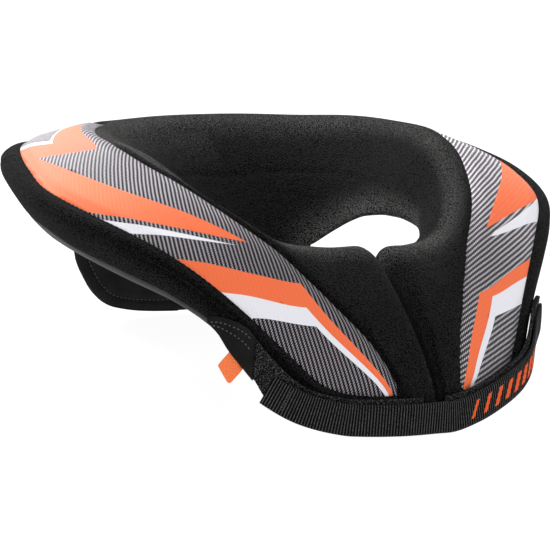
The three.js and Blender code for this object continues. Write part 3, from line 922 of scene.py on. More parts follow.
# Painted light on the cover, its colour lighter where light falls along the rim and the neck's edge: start
# and distance of each growth, minus where the place falls. Angles first, then shares.
PAINTED_LIGHT_NECK_FROM, PAINTED_LIGHT_NECK_TO = (64, 20), (-170, 25)
PAINTED_LIGHT_LEFT_FROM, PAINTED_LIGHT_LEFT_TO = (55, 20), (-140, 15)
PAINTED_LIGHT_BACK = (50, 30)
PAINTED_LIGHT_LOWER = (95, 30)
PAINTED_LIGHT_RIM_LESS = 0.3
PAINTED_LIGHT_FACE_REACH, PAINTED_LIGHT_FACE_LESS = 0.2, 0.07
PAINTED_LIGHT_WALL_START, PAINTED_LIGHT_WALL_LOWER, PAINTED_LIGHT_WALL_FULL = 0.72, 0.2, 0.94
PAINTED_LIGHT_LEFT_WALL = (0.82, 0.12)
PAINTED_LIGHT_LEFT_FACE, PAINTED_LIGHT_LEFT_REACH = 0.9, 0.12
PAINTED_LIGHT_NECK_WALL, PAINTED_LIGHT_NECK_UNDER = (0.04, 0.3), (0.85, 0.15)


def painted_light_on_cover(angle):
    """Painted light: how much lighter the cover's colour is along the rim, most at the left, and at the
    neck's right edge.
    """
    at_neck = ramp(angle, *PAINTED_LIGHT_NECK_FROM) * ramp(-angle, *PAINTED_LIGHT_NECK_TO)
    at_left = ramp(-angle, *PAINTED_LIGHT_LEFT_FROM) * ramp(angle, *PAINTED_LIGHT_LEFT_TO)
    back = ramp(np.abs(angle), *PAINTED_LIGHT_BACK)
    at_rim = 1 - PAINTED_LIGHT_RIM_LESS * back
    reach = PAINTED_LIGHT_FACE_REACH - PAINTED_LIGHT_FACE_LESS * back
    start = PAINTED_LIGHT_WALL_START - PAINTED_LIGHT_WALL_LOWER * ramp(-angle, *PAINTED_LIGHT_LOWER)
    wall, face, under = ((LOOP_RUN == run)[None, :] for run in (INNER, FACE, UNDER))
    share = LOOP_SHARE[None, :]
    painted_light = wall * at_rim * ramp(share, start, PAINTED_LIGHT_WALL_FULL - start)
    painted_light += wall * at_left * ramp(share, *PAINTED_LIGHT_LEFT_WALL)
    painted_light += wall * at_neck * (1 - ramp(share, *PAINTED_LIGHT_NECK_WALL))
    painted_light += face * at_rim * (1 - smooth(share / reach))
    painted_light += face * PAINTED_LIGHT_LEFT_FACE * at_left * (1 - smooth(share / PAINTED_LIGHT_LEFT_REACH))
    painted_light += under * at_neck * ramp(share, *PAINTED_LIGHT_NECK_UNDER)
    return painted_light


# Ridge along the left end of the slit: its rings from the end with their heights, how much lighter its colour
# is painted as a painted highlight, and the share of the face over which that fades.
RIDGE_RINGS = {2: 0.2, 3: 0.4, 4: 0.4, 5: 0.2}
RIDGE_PAINTED_LIGHT = 1.6
RIDGE_PAINTED_LIGHT_OVER = 0.5


def build_pad():
    """Padded cover: the CAD form with its sewn-in panels, seams and soft unevenness."""
    right, right_angle = half_rings("right")
    left, left_angle = half_rings("left")
    rings = np.concatenate([right, left[-2::-1]])
    angle = np.concatenate([right_angle, left_angle[-2::-1]])
    round_the_neck = np.gradient(rings, axis=0)
    along_the_loop = np.roll(rings, -1, 1) - np.roll(rings, 1, 1)
    out = unit(np.cross(along_the_loop, round_the_neck))
    edge = np.ones(len(rings))
    edge[: ROUND_STEPS + 1] = np.linspace(0, 1, ROUND_STEPS + 1)
    edge[-ROUND_STEPS - 1:] = edge[: ROUND_STEPS + 1][::-1]
    relief = pad_relief(angle, rings) * edge[:, None]
    on_face = LOOP_RUN == FACE
    for ring, height in RIDGE_RINGS.items():
        relief[-1 - ring, on_face] += height
    rings = rings + out * relief[..., None]
    caps = []
    for ring, side in ((rings[0], 1), (rings[-1], -1)):
        middle = ring.mean(0)
        layers = middle + (ring - middle) * CAP_SCALES[:, None, None]
        layers[..., 0] -= side * CAP_BULGE * (1 - CAP_SCALES[:, None] ** 2)
        caps.append((layers, middle - [side * CAP_BULGE, 0, 0]))
    grid = np.concatenate([caps[0][0], rings, caps[1][0][::-1]])
    count, loop = grid.shape[:2]
    ids = np.arange(count * loop).reshape(count, loop)
    ahead = np.roll(ids, -1, 1)
    faces = np.stack([ids[:-1], ahead[:-1], ahead[1:], ids[1:]], -1).reshape(-1, 4)
    faces = [tuple(f) for f in faces]
    lower = (LOOP_RUN == UNDER) | ((LOOP_RUN == SIDE) & (LOOP_SHARE >= LOWER_CLOTH))
    cloth = list(np.tile(lower, count - 1).astype(int))
    front, back = count * loop, count * loop + 1
    for k in range(loop):
        n = (k + 1) % loop
        faces.append((front, ids[0, n], ids[0, k]))
        faces.append((back, ids[-1, k], ids[-1, n]))
    cloth += [0] * (2 * loop)
    points = np.concatenate([grid.reshape(-1, 3), [caps[0][1], caps[1][1]]])
    end_rows = ((len(CAP_SCALES), len(CAP_SCALES)), (0, 0))
    # Painted light on the cover's colour, with a painted highlight along the ridge by the slit.
    painted_light = painted_light_on_cover(angle)
    for ring, height in RIDGE_RINGS.items():
        painted_light[-1 - ring, on_face] += RIDGE_PAINTED_LIGHT * height * (1 - smooth(LOOP_SHARE[on_face] / RIDGE_PAINTED_LIGHT_OVER))
    painted_light = np.append(np.pad(painted_light, end_rows).ravel(), [0, 0])
    pad = mesh_object("pad_cover", points, facing_out(points, faces), [JERSEY, LOWER], cloth, painted_light=painted_light)
    return finish_piece(pad, "collar_pad")


def inside(polygon, points):
    """Which points lie inside a closed polygon."""
    x, y = points[:, 0], points[:, 1]
    found = np.zeros(len(points), bool)
    for (x0, y0), (x1, y1) in zip(polygon, np.roll(polygon, -1, 0)):
        crosses = (y0 > y) != (y1 > y)
        if y0 != y1:
            found ^= crosses & (x < (x1 - x0) * (y - y0) / (y1 - y0) + x0)
    return found


# Degrees and shares brought to about millimetres, so that the print's triangles are even. Then the net of
# points between the stripes: its steps, how far it keeps from the panel's edge, and when points are one.
PRINT_SCALE = np.array([1.75, 80.0])
NET_TURN = 1.25
NET_SHARES = (0.02, 1.0, 0.027)
NET_CLEAR = 0.9
CUT_NEAR = 1e-4
PANEL_BACK_STEPS = 40

# Where the stripes' edges run off the panel, by angle, and the share past its outer seam.
PAST_SEAM = 0.995
RUN_OFF = {
    "wedge_low": 91, "sliver_top": 86.5, "sliver_low": 80, "band_back": 68, "middle_back": 55,
    "tail_back": 46, "band_front": 10.2, "middle_front": 11.2, "tail_front": 12,
}

# Orange behind the shoulder, angle and share: its far edge with a white edging, and the right's inner edge.
FAR_EDGE = {
    "left": [(143, 0.3), (122, 0.5), (124.5, 0.7), (128, PAST_SEAM)],
    "right": [(143, 0.5), (126, 0.62), (122, 0.75), (124, PAST_SEAM)],
}
RIGHT_BEHIND = [(140, 0.42), (121, 0.55), (117, 0.7)]
WHITE_WIDE = 2.8


def stripe_edge(name, side, steps=14):
    """Points of one edge of a stripe, smooth through its three."""
    rows = RIGHT_EDGES if side == "right" and name in RIGHT_EDGES else STRIPE_EDGES
    (a0, s0), (a1, s1), (a2, s2) = rows[name]
    middle = (2 * a1 - (a0 + a2) / 2, 2 * s1 - (s0 + s2) / 2)
    u = np.linspace(0, 1, steps)[:, None]
    ends = (np.array([a0, s0]), np.array(middle), np.array([a2, s2]))
    return (1 - u) ** 2 * ends[0] + 2 * u * (1 - u) * ends[1] + u**2 * ends[2]


def stripe_shapes(side):
    """Closed outlines of the orange and the white stripes, past the seams where they run off the cloth."""
    def run_off(name):
        return [(RUN_OFF[name], PAST_SEAM)]

    def edge(name):
        return stripe_edge(name, side)

    def bent(upper, lower):
        back, front, below, behind = upper + "_back", upper + "_front", lower + "_front", lower + "_back"
        return np.concatenate([
            run_off(back), edge(back), edge(front), run_off(front),
            run_off(below), edge(below)[::-1], edge(behind)[::-1], run_off(behind),
        ])

    far = np.array(FAR_EDGE[side])
    inner = [edge("arm"), edge("notch")] if side == "left" else [RIGHT_BEHIND]
    orange = [
        np.concatenate([edge("wedge_top"), edge("wedge_low"), run_off("wedge_low"), far[::-1], *inner]),
        bent("band", "middle"),
    ]
    white = [
        np.concatenate([
            run_off("sliver_top"), edge("sliver_top"), edge("sliver_low"), run_off("sliver_low"),
        ]),
        bent("middle", "tail"),
        np.concatenate([far, (far + [WHITE_WIDE, 0])[::-1]]),
    ]
    return orange, white


def panel_outline(side):
    """Closed outline of a panel in angle and share."""
    turns = np.arange(PANEL_FROM, PANEL_TO + 1.0)
    inner = np.stack([turns, np.interp(turns, ANGLES, SEAM_IN[side])], -1)
    outer = np.stack([turns, np.interp(turns, ANGLES, SEAM_OUT[side])], -1)
    shares = np.linspace(inner[-1, 1], outer[-1, 1], PANEL_BACK_STEPS)[1:-1]
    back = np.stack([np.full_like(shares, PANEL_TO), shares], -1)
    return np.concatenate([inner, back, outer[::-1]])


def flat_print(side):
    """The panel as triangles in angle and share, cut along the stripes, with an ink for each."""
    sign = SIGN[side]
    outline = panel_outline(side)
    orange, white = stripe_shapes(side)
    points, edges = [], []
    for ring in [outline, *orange, *white]:
        start = len(points)
        points += [Vector(p * PRINT_SCALE) for p in ring]
        edges += [(start + k, start + (k + 1) % len(ring)) for k in range(len(ring))]
    turns = np.arange(PANEL_FROM, PANEL_TO, NET_TURN)
    shares = np.arange(*NET_SHARES)
    net = np.stack(np.meshgrid(turns, shares, indexing="ij"), -1).reshape(-1, 2)
    depth = panel_depth(sign * net[:, 0], net[:, 1])
    points += [Vector(p * PRINT_SCALE) for p in net[depth > NET_CLEAR]]
    verts, _, faces, *_ = delaunay_2d_cdt(points, edges, [], 0, CUT_NEAR)
    verts = np.array([v[:] for v in verts]) / PRINT_SCALE
    faces = np.array([f[:] for f in faces])
    middles = verts[faces].mean(1)
    kept = inside(outline, middles)
    faces, middles = faces[kept], middles[kept]
    ink = np.zeros(len(faces), int)
    for index, shapes in ((1, orange), (2, white)):
        for shape in shapes:
            ink[inside(shape, middles)] = index
    used = np.unique(faces)
    renumber = np.full(len(verts), -1)
    renumber[used] = np.arange(len(used))
    return verts[used], renumber[faces], ink


# Places on a panel, angle and share, between which its length runs, and how many degrees weigh as one share.
LENGTH_FROM = (30, 0.6)
LENGTH_TO = (90, 0.5)
DEGREES_AS_SHARE = 100
UNWRAP_ROUNDS = 40


def lay_flat(points, plan, faces):
    """Places in millimetres of a panel's points on its cloth laid flat, its length along x."""
    mesh = bpy.data.meshes.new("pattern")
    mesh.from_pydata(points.tolist(), [], faces.tolist())
    mesh.uv_layers.new(name="flat")
    pattern = bpy.data.objects.new("pattern", mesh)
    bpy.context.scene.collection.objects.link(pattern)
    bpy.ops.object.select_all(action="DESELECT")
    bpy.context.view_layer.objects.active = pattern
    pattern.select_set(True)
    bpy.ops.object.mode_set(mode="EDIT")
    bpy.ops.mesh.select_all(action="SELECT")
    bpy.ops.uv.unwrap(method="MINIMUM_STRETCH", iterations=UNWRAP_ROUNDS, margin=0)
    bpy.ops.object.mode_set(mode="OBJECT")
    uv = np.zeros(2 * len(mesh.loops), np.float32)
    mesh.uv_layers["flat"].data.foreach_get("uv", uv)
    corners = np.zeros(len(mesh.loops), np.int32)
    mesh.loops.foreach_get("vertex_index", corners)
    flat = np.zeros((len(points), 2))
    flat[corners] = uv.reshape(-1, 2)
    bpy.data.objects.remove(pattern)
    bpy.data.meshes.remove(mesh)
    across, along = flat[faces[:, 1]] - flat[faces[:, 0]], flat[faces[:, 2]] - flat[faces[:, 0]]
    spread = np.abs(across[:, 0] * along[:, 1] - across[:, 1] * along[:, 0]).sum() / 2
    flat *= math.sqrt(sheet_area(points, faces) / spread)
    first, last = (
        np.argmin(np.hypot((plan[:, 0] - angle) / DEGREES_AS_SHARE, plan[:, 1] - share))
        for angle, share in (LENGTH_FROM, LENGTH_TO)
    )
    ahead = unit(flat[last] - flat[first])
    aside = np.array([-ahead[1], ahead[0]])
    return np.stack([flat @ ahead, flat @ aside], -1)


def sheet_area(points, faces):
    a, b, c = (points[faces[:, k]] for k in range(3))
    return np.linalg.norm(np.cross(b - a, c - a), axis=1).sum() / 2


# A panel's height off the plain pad: sunk at its seams, swelling inside, and flatter at the right's far end.
PANEL_SUNK = 0.55
PANEL_SWELL = 1.7
PANEL_SWELL_OVER = 7
RIGHT_FLATTER = 0.7
RIGHT_FLAT_FROM = (96, 14)

# Angles from which the twill's colour takes painted light, and further back the other inks' painted shade:
# start and distance.
TWILL_PAINTED_LIGHT_FROM = (40, 35)
FAR_PAINTED_SHADE_FROM = (98, 16)


def build_panel(side):
    """One printed panel, sunk into the pad along its seams."""
    sign = SIGN[side]
    plan, faces, ink = flat_print(side)
    angle, share = sign * plan[:, 0], plan[:, 1]
    on, out = on_pad(FACE, angle, share), out_of_pad(FACE, angle, share)
    depth = np.maximum(panel_depth(angle, share), 0)
    proud = np.where(angle > 0, 1 - RIGHT_FLATTER * ramp(angle, *RIGHT_FLAT_FROM), 1)
    lift = -PANEL_SUNK + PANEL_SWELL * smooth(depth / PANEL_SWELL_OVER) * proud
    over = on + out * lift[:, None]
    under = over - out * PANEL_THICK
    count = len(plan)
    sides = np.sort(np.concatenate([faces[:, [0, 1]], faces[:, [1, 2]], faces[:, [2, 0]]]), 1)
    pairs, times = np.unique(sides, axis=0, return_counts=True)
    walls = [(a, b, b + count, a + count) for a, b in pairs[times == 1]]
    all_faces = [tuple(f) for f in faces] + [tuple(f[::-1] + count) for f in faces] + walls
    points = np.concatenate([over, under])
    flat = lay_flat(over, plan, faces)
    inks = [
        printed_cloth(name + side, TWILL[side], *tones) for name, tones in
        (("grey_twill_", TWILL_INK_AND_PAINTED_LIGHT[side]), ("orange_print_", ORANGE_INK), ("white_print_", WHITE_INK))
    ]
    ink = list(ink) + [0] * (len(faces) + len(walls))
    # Painted light and shade on the panel's colour, growing toward its back.
    lit = np.tile(ramp(plan[:, 0], *TWILL_PAINTED_LIGHT_FROM) + ramp(plan[:, 0], *FAR_PAINTED_SHADE_FROM), 2)
    panel = mesh_object("panel_print_" + side, points, all_faces, inks, ink, np.tile(flat, (2, 1)), lit)
    turn_normals_out(panel)
    area = sheet_area(over, faces) * MM**2
    return finish_piece(panel, "panel_" + side)


def turn_normals_out(obj):
    """Makes the faces of a closed mesh agree, looking out."""
    work = bmesh.new()
    work.from_mesh(obj.data)
    bmesh.ops.recalc_face_normals(work, faces=work.faces)
    work.to_mesh(obj.data)
    work.free()


def strap_low(angle):
    return max(0.0, through(STRAP_PATH, angle))


def strap_slope(angle):
    return (strap_low(angle + 1) - strap_low(angle - 1)) / (2 * math.radians(1) * STRAP_RUN_R)


def strap_high(angle):
    return strap_low(angle) + STRAP_WIDTH * math.hypot(1, strap_slope(angle))


def reach_at(angle, low, high):
    """Widest reach of the pad between two heights at an angle."""
    i = int(round(abs(angle)))
    found = (HEIGHT[:, i] >= low) & (HEIGHT[:, i] <= high)
    return RADIUS[:, i][found].max()


def layer_reach_at(angle):
    """Distance from the axis of the first layer round the front, clear of the pad."""
    reaches = []
    for d in (-LOOK_ROUND, 0, LOOK_ROUND):
        a = min(max(angle + d, -ANCHOR_TO), ANCHOR_TO)
        turn = abs(a)
        top = strap_high(a)
        if LOOP_FROM < turn < LOOP_TO:
            top += through(LOOP_ABOVE, turn)
        if turn >= LOOP_TO:
            top = max(top, through(ANCHOR_HIGH, turn))
        reaches.append(reach_at(a, strap_low(a) - LOOK_PAST, top + LOOK_PAST))
    return max(reaches) + GAP


FRONT_ANGLES = np.arange(-60, 60.5, 2.0)
FRONT_REACH = np.array([layer_reach_at(a) for a in FRONT_ANGLES])


def layer_reach(angle):
    return np.interp(angle, FRONT_ANGLES, FRONT_REACH)


# Strap: how much longer its free end is than the CAD part's, its rows across, its rounded edges and ribs, and
# how many places its slope is evened over.
STRAP_LONGER = 2.3
STRAP_ROWS = np.array([0, 0.35, 0.9, 1.8, 3.4, 5.6, 7.5, 9.4, 11.6, 13.2, 14.1, 14.65, 15])
STRAP_EDGE_DROP, STRAP_EDGE_WIDE, STRAP_UNDER_SHARE = 0.55, 1.1, 0.25
RIB_HEIGHT, RIB_POWER, RIB_EDGE = 0.34, 0.7, 0.8
SAMPLES_PER_RIB = 6
SLOPE_HALF = 30

# Zigzag of stitches that tacks the free end: place along, width, lowest and highest place across, corners.
TACK_FROM_END = 8.5
TACK_WIDE = 2.2
TACK_LOW, TACK_HIGH = 2.4, 12.8
TACK_TURNS = 9
TACK_RADIUS = 0.24


def build_strap():
    """Webbing strap with cross ribs, its free end cut square and tacked down."""
    start = math.radians(STRAP_FROM) * STRAP_RUN_R - STRAP_LONGER
    stop = math.radians(STRAP_TO) * STRAP_RUN_R
    runs = np.arange(start, stop, RIB_PITCH / SAMPLES_PER_RIB)
    turns = [math.degrees(x / STRAP_RUN_R) for x in runs]
    low = np.array([strap_low(a) for a in turns])
    slope = np.pad(np.arctan([strap_slope(a) for a in turns]), SLOPE_HALF, mode="edge")
    evened = 2 * SLOPE_HALF + 1
    slope = np.convolve(slope, np.ones(evened) / evened, mode="valid")
    x = runs[:, None] - STRAP_ROWS * np.sin(slope)[:, None]
    z = low[:, None] + STRAP_ROWS * np.cos(slope)[:, None]
    angle = np.degrees(x / STRAP_RUN_R)
    inner = layer_reach(angle) + ANCHOR_THICK + GAP
    edge = np.minimum(STRAP_ROWS, STRAP_WIDTH - STRAP_ROWS)
    drop = STRAP_EDGE_DROP * (1 - smooth(edge / STRAP_EDGE_WIDE))
    wave = np.abs(np.sin(math.pi * runs / RIB_PITCH))
    rib = RIB_HEIGHT * (wave**RIB_POWER - 1)[:, None] * smooth(edge / RIB_EDGE)
    over = polar(inner + STRAP_THICK - drop + rib, angle, z)
    points, faces = slab(over, polar(inner + STRAP_UNDER_SHARE * drop, angle, z))
    flat = np.stack(np.broadcast_arrays(runs[:, None], STRAP_ROWS), -1).reshape(-1, 2)
    strap = mesh_object("strap_webbing", points, faces, [WEBBING], uv=np.tile(flat, (2, 1)))
    corners = []
    for k, width in enumerate(np.linspace(TACK_LOW, TACK_HIGH, TACK_TURNS)):
        column = np.argmin(np.abs(runs - start - TACK_FROM_END - TACK_WIDE * (k % 2)))
        corners.append(np.array([np.interp(width, STRAP_ROWS, over[column, :, axis]) for axis in range(3)]))
    threads = []
    for a, b in zip(corners, corners[1:]):
        middle = (a + b) / 2
        along = unit(b - a)
        out = unit(middle * [1, 1, 0] - [0, AXIS_Y, 0])
        out = unit(out - along * np.dot(out, along))
        threads.append(stitch(middle, along, out, np.linalg.norm(b - a), TACK_RADIUS))
    tack = mesh_object("strap_tack", *joined(threads), [DARK_THREAD])
    finish_piece(tack, None)
    return finish_piece(strap, "front_strap")


# Lip along an upright band's upper edge, and the waves of its uneven face: turns by angle and by height.
LIP_DROP = 0.7
LIP_WIDE = 0.5
WOBBLE_WAVES = ((7.1, 1.9), (-3.3, 2.7))


def round_loss(edge, over):
    """How much of a rounded edge is lost at a distance from it, from 1 to 0."""
    return 1 - np.sqrt(1 - (1 - np.clip(edge / over, 0, 1)) ** 2)


def upright_band(first, last, low, high, steps, rows, thick, edge_round, wobble, lip):
    """Closed upright band against the pad, its last end rounded and a lip along its upper edge."""
    angle = np.linspace(first, last, steps)
    bottom = np.array([low(a) for a in angle])[:, None]
    top = np.array([high(a) for a in angle])[:, None]
    z = bottom + (top - bottom) * np.linspace(0, 1, rows)
    to_end = np.radians(np.abs(last - angle))[:, None] * STRAP_RUN_R
    edge = np.minimum(np.minimum(z - bottom, top - z), to_end)
    grid = np.repeat(angle[:, None], rows, 1)
    rough = wobble * np.prod([np.sin(grid * a + z * b) for a, b in WOBBLE_WAVES], axis=0)
    rough += groove(top - z - LIP_DROP, lip, LIP_WIDE)
    reach = layer_reach(grid)
    over = polar(reach + thick - edge_round * round_loss(edge, edge_round) + rough, grid, z)
    return slab(over, polar(reach, grid, z))


def flat_size(first, last, low, high, steps=30):
    """Cut size of an upright band as width, length and area, in metres."""
    angle = np.linspace(first, last, steps)
    tall = np.array([high(a) - low(a) for a in angle])
    reach = layer_reach(angle)
    length = abs(math.radians(last - first)) * reach.mean()
    width = tall.max()
    return (width * MM, length * MM), tall.mean() * length * MM**2


LOOP_END = 43.4
LOOP_MAKE = {"steps": 160, "rows": 48, "thick": LOOP_THICK, "edge_round": 0.6, "wobble": 0.12, "lip": 0.3}


def build_loop_band(side):
    def low(angle):
        return strap_low(angle) + through(LOOP_SHORT, abs(angle))

    def high(angle):
        return strap_high(angle) + through(LOOP_ABOVE, abs(angle))

    where = (SIGN[side] * LOOP_END, SIGN[side] * LOOP_FROM, low, high)
    band = mesh_object("loop_pile_" + side, *upright_band(*where, **LOOP_MAKE), [PILE])
    flat, area = flat_size(*where)
    return finish_piece(band, "loop_band_" + side)


# Stitches of an anchor: drop of each row below the upper edge at its two ends, how far the rows keep from the
# other edges, and their points.
ANCHOR_MAKE = {"steps": 64, "rows": 64, "thick": ANCHOR_THICK, "edge_round": 0.6, "wobble": 0.03, "lip": 0.35}
ANCHOR_STITCH_DROPS = ((2.2, 2.2), (7.4, 3.6))
ANCHOR_STITCH = {"pitch": 2.2, "length": 1.3, "radius": 0.22}
ANCHOR_CLEAR = 1
ANCHOR_STEPS = 40


def build_anchor(side):
    """Anchor tab with two rows of stitches under its upper edge."""
    def low(angle):
        return through(ANCHOR_LOW, abs(angle))

    def high(angle):
        return through(ANCHOR_HIGH, abs(angle))

    where = (SIGN[side] * ANCHOR_FROM, SIGN[side] * ANCHOR_TO, low, high)
    anchor = mesh_object("anchor_cloth_" + side, *upright_band(*where, **ANCHOR_MAKE), [TAB_CLOTH])
    angle = SIGN[side] * np.linspace(ANCHOR_FROM + ANCHOR_CLEAR, ANCHOR_TO - ANCHOR_CLEAR, ANCHOR_STEPS)
    bottom, top = (np.array([edge(a) for a in angle]) for edge in (low, high))
    rows = []
    for drop_from, drop_to in ANCHOR_STITCH_DROPS:
        z = top - np.linspace(drop_from, drop_to, ANCHOR_STEPS)
        kept = z > bottom + ANCHOR_CLEAR
        path = polar(layer_reach(angle) + ANCHOR_THICK, angle, z)[kept]
        out = (polar(1, angle, z) - polar(0, angle, z))[kept]
        rows.append(stitch_row(path, out, **ANCHOR_STITCH))
    seam = mesh_object("anchor_stitches_" + side, *joined(rows), [ASH_THREAD])
    flat, area = flat_size(*where)
    finish_piece(seam, None)
    return finish_piece(anchor, "anchor_" + side)


# Flap, where it differs from the CAD part: lifted at its foot, tucked into the pad at its top and narrower at
# the right. Then its points, closer together toward its foot and ends, its least thickness at the edge, and
# the sewn groove: how far it lies inside the edge and how far below the top it ends.
FLAP_LIFT = 1.5
FLAP_TUCK = 2.0
FLAP_RIGHT_SHARE = 0.912
FLAP_ROWS, FLAP_ROW_POWER = 44, 1.6
FLAP_COLUMNS = 110
FLAP_LEAST = 0.25
FLAP_INSIDE = 6.0
FLAP_BELOW_TOP = 6
FLAP_GROOVE, FLAP_GROOVE_WIDE = 0.9, 1.1
FLAP_STITCH = {"pitch": 2.6, "length": 1.8, "radius": 0.22}


def underside_at(angle, near, far):
    """Lowest point of the pad between two distances from the axis at an angle."""
    i = int(round(angle))
    found = (RADIUS[:, i] >= near) & (RADIUS[:, i] <= far)
    return HEIGHT[:, i][found].min()


def build_flap():
    """Padded flap under the back: rounded edge, a sewn groove inside it and its stitches."""
    shares = (np.linspace(0, 1, FLAP_ROWS) ** FLAP_ROW_POWER)[:, None]
    across = np.sin(np.linspace(-1, 1, FLAP_COLUMNS) * math.pi / 2)
    half = np.array([[through(FLAP_HALF, s)] for s in shares[:, 0]])
    x = half * np.where(across > 0, FLAP_RIGHT_SHARE * across, across)
    y = FLAP_FOOT_Y + FLAP_LEAN * shares - x**2 / (2 * FLAP_CURVE_R)
    far = np.hypot(x, y)
    turn = 180 - np.degrees(np.arctan2(np.abs(x), y))
    top = np.vectorize(underside_at)(turn, far - FLAP_THICK - LOOK_PAST, far + LOOK_PAST) + FLAP_TUCK
    z = FLAP_LIFT + (top - FLAP_LIFT) * shares
    rim_x, rim_z = (np.concatenate([grid[::-1, 0], grid[0, :], grid[:, -1]]) for grid in (x, z))
    edge = np.hypot(x[..., None] - rim_x, z[..., None] - rim_z).min(-1)
    round_off = FLAP_THICK / 2
    depth = round_off * np.maximum(1 - round_loss(edge, round_off), FLAP_LEAST)
    depth -= groove(edge - FLAP_INSIDE, FLAP_GROOVE, FLAP_GROOVE_WIDE)
    middle = AXIS_Y + y - round_off
    points, faces = slab(np.stack([x, middle + depth, z], -1), np.stack([x, middle - depth, z], -1))
    flap = mesh_object("flap_cover", points, faces, [FLAP_CLOTH])
    heading = np.stack([np.gradient(rim_x), np.gradient(rim_z)], -1)
    inward = unit(np.stack([-heading[:, 1], heading[:, 0]], -1))
    path_x, path_z = rim_x + inward[:, 0] * FLAP_INSIDE, rim_z + inward[:, 1] * FLAP_INSIDE
    kept = path_z < rim_z.max() - FLAP_BELOW_TOP
    path_x, path_z = path_x[kept], path_z[kept]
    rows = []
    for face in (1, -1):
        path_y = AXIS_Y + FLAP_FOOT_Y - path_x**2 / (2 * FLAP_CURVE_R) - round_off
        path_y += face * (round_off - FLAP_GROOVE)
        out = np.tile([0.0, float(face), 0.0], (len(path_x), 1))
        rows.append(stitch_row(np.stack([path_x, path_y, path_z], -1), out, **FLAP_STITCH))
    seam = mesh_object("flap_stitches", *joined(rows), [THREAD])
    finish_piece(seam, None)
    return finish_piece(flap, "back_flap")


# Tab: points along a side, threads along a side and their height, the share over which they fade at the edge,
# how much the edge is rounded and over which share, and how far the tips are drawn in.
TAB_STEPS = 67
TAB_CELLS = 11
TAB_WEAVE, TAB_WEAVE_FADE = 0.16, 0.1
TAB_EDGE_DROP, TAB_EDGE_OVER = 0.55, 0.16
TAB_TIP_ROUND = 0.14
TAB_SIDE_ROUND = 0.04
TAB_ROUND_POWER = 6


def build_pull_tab():
    """Folded end of orange tape, its weave modelled as raised threads."""
    reach = float(layer_reach(TAB_ANGLE)) - TAB_THICK - GAP
    u = np.linspace(-1, 1, TAB_STEPS)
    a, b = np.meshgrid(u, u, indexing="ij")
    drawn_in = TAB_SIDE_ROUND + (TAB_TIP_ROUND - TAB_SIDE_ROUND) * (a < 0) * (b < 0)
    kept = 1 - drawn_in * np.abs(a * b) ** TAB_ROUND_POWER
    aside, up = (a - b) / 2 * TAB_HALF_WIDE * kept, (a + b) / 2 * TAB_HALF_TALL * kept
    edge = np.minimum(1 - np.abs(a), 1 - np.abs(b))
    lost = TAB_EDGE_DROP * round_loss(edge, TAB_EDGE_OVER)
    thread_turn = TAB_CELLS * math.pi / 2
    weave = TAB_WEAVE * np.sin(a * thread_turn) * np.sin(b * thread_turn) * smooth(edge / TAB_WEAVE_FADE)
    angle = TAB_ANGLE + np.degrees(aside / reach)
    over = polar(reach + TAB_THICK - TAB_WEAVE - lost + weave, angle, TAB_Z + up)
    points, faces = slab(over, polar(reach + lost, angle, TAB_Z + up))
    tab = mesh_object("pull_tab_tape", points, faces, [TAPE])
    return finish_piece(tab, "pull_tab")


build_pad()
for side in ("left", "right"):
    build_panel(side)
    build_loop_band(side)
    build_anchor(side)
build_strap()
build_flap()
build_pull_tab()


# Camera, fitted to the photograph's frame of 550 by 550 pixels.
FRAME_PIXELS = 550
CAMERA_PLACE = Vector((-846.8, -1409.5, 417.4)) * MM
CAMERA_RIGHT = Vector((0.8656, -0.4957, 0.0706))
CAMERA_UP = Vector((0.0511, 0.2278, 0.9723))
FOCAL_PIXELS = 3406.8
SENSOR_MM = 36
SHIFT_PIXELS = 1.5


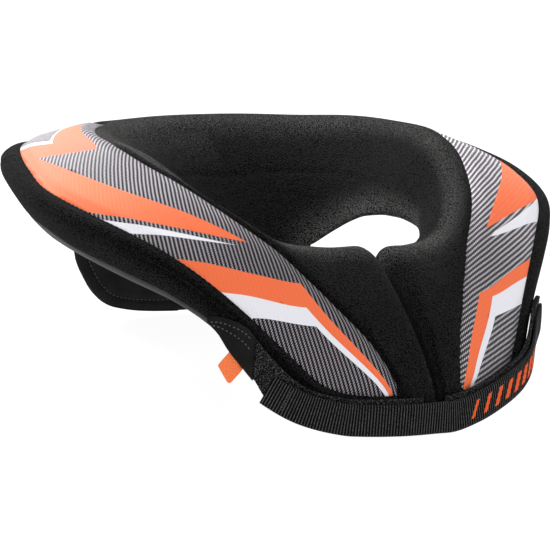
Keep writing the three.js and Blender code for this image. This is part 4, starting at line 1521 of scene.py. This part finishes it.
def build_camera():
    data = bpy.data.cameras.new("camera")
    data.sensor_width = SENSOR_MM
    data.lens = FOCAL_PIXELS / FRAME_PIXELS * SENSOR_MM
    data.shift_x = SHIFT_PIXELS / FRAME_PIXELS
    camera = bpy.data.objects.new("camera", data)
    right = CAMERA_RIGHT.normalized()
    back = right.cross(CAMERA_UP).normalized()
    up = back.cross(right)
    turn = Matrix((right, up, back)).transposed().to_4x4()
    camera.matrix_world = Matrix.Translation(CAMERA_PLACE) @ turn
    bpy.context.scene.collection.objects.link(camera)
    bpy.context.scene.camera = camera


# Light behind and above, in metres, and the floor: its greys, its glow and half its width in millimetres.
LIGHT_PLACE = Vector((-0.2, 1.6, 1.25))
LIGHT_AIM = Vector((0, 0, 0.05))
LIGHT_SIZE = (1.4, 0.8)
LIGHT_WATTS = 90
WHITE = (1, 1, 1, 1)
FLOOR_DARK, FLOOR_LIGHT = grey(0.055), grey(0.06)
FLOOR_GLOW = 0.95
FLOOR_HALF = 6000


def build_light():
    data = bpy.data.lights.new("back_light", "AREA")
    data.shape = "RECTANGLE"
    data.size, data.size_y = LIGHT_SIZE
    data.energy = LIGHT_WATTS
    light = bpy.data.objects.new("back_light", data)
    light.location = LIGHT_PLACE
    light.rotation_euler = (LIGHT_AIM - LIGHT_PLACE).to_track_quat("-Z", "Y").to_euler()
    bpy.context.scene.collection.objects.link(light)


def build_stage():
    """White studio: a bright surround, a strong light behind and above, and a lit pale floor."""
    scene = bpy.context.scene
    world = bpy.data.worlds.new("studio")
    world.use_nodes = True
    world.node_tree.nodes["Background"].inputs["Color"].default_value = WHITE
    world.node_tree.nodes["Background"].inputs["Strength"].default_value = 1.0
    scene.world = world
    build_light()
    material, tree, shader = start_material("pale_floor")
    mottled = blended(tree, noise(tree, place_mm(tree), scale=0.01), FLOOR_DARK, FLOOR_LIGHT)
    tree.links.new(mottled, shader.inputs["Base Color"])
    set_shader(shader, roughness=0.9, emission_strength=FLOOR_GLOW, emission_color=WHITE)
    corners = np.array([(-1, -1, 0), (1, -1, 0), (1, 1, 0), (-1, 1, 0)], float) * FLOOR_HALF
    floor = mesh_object("floor", corners, [(0, 1, 2, 3)], [material])
    scene.view_settings.view_transform = "Standard"
    scene.view_settings.look = "None"


build_camera()
build_stage()
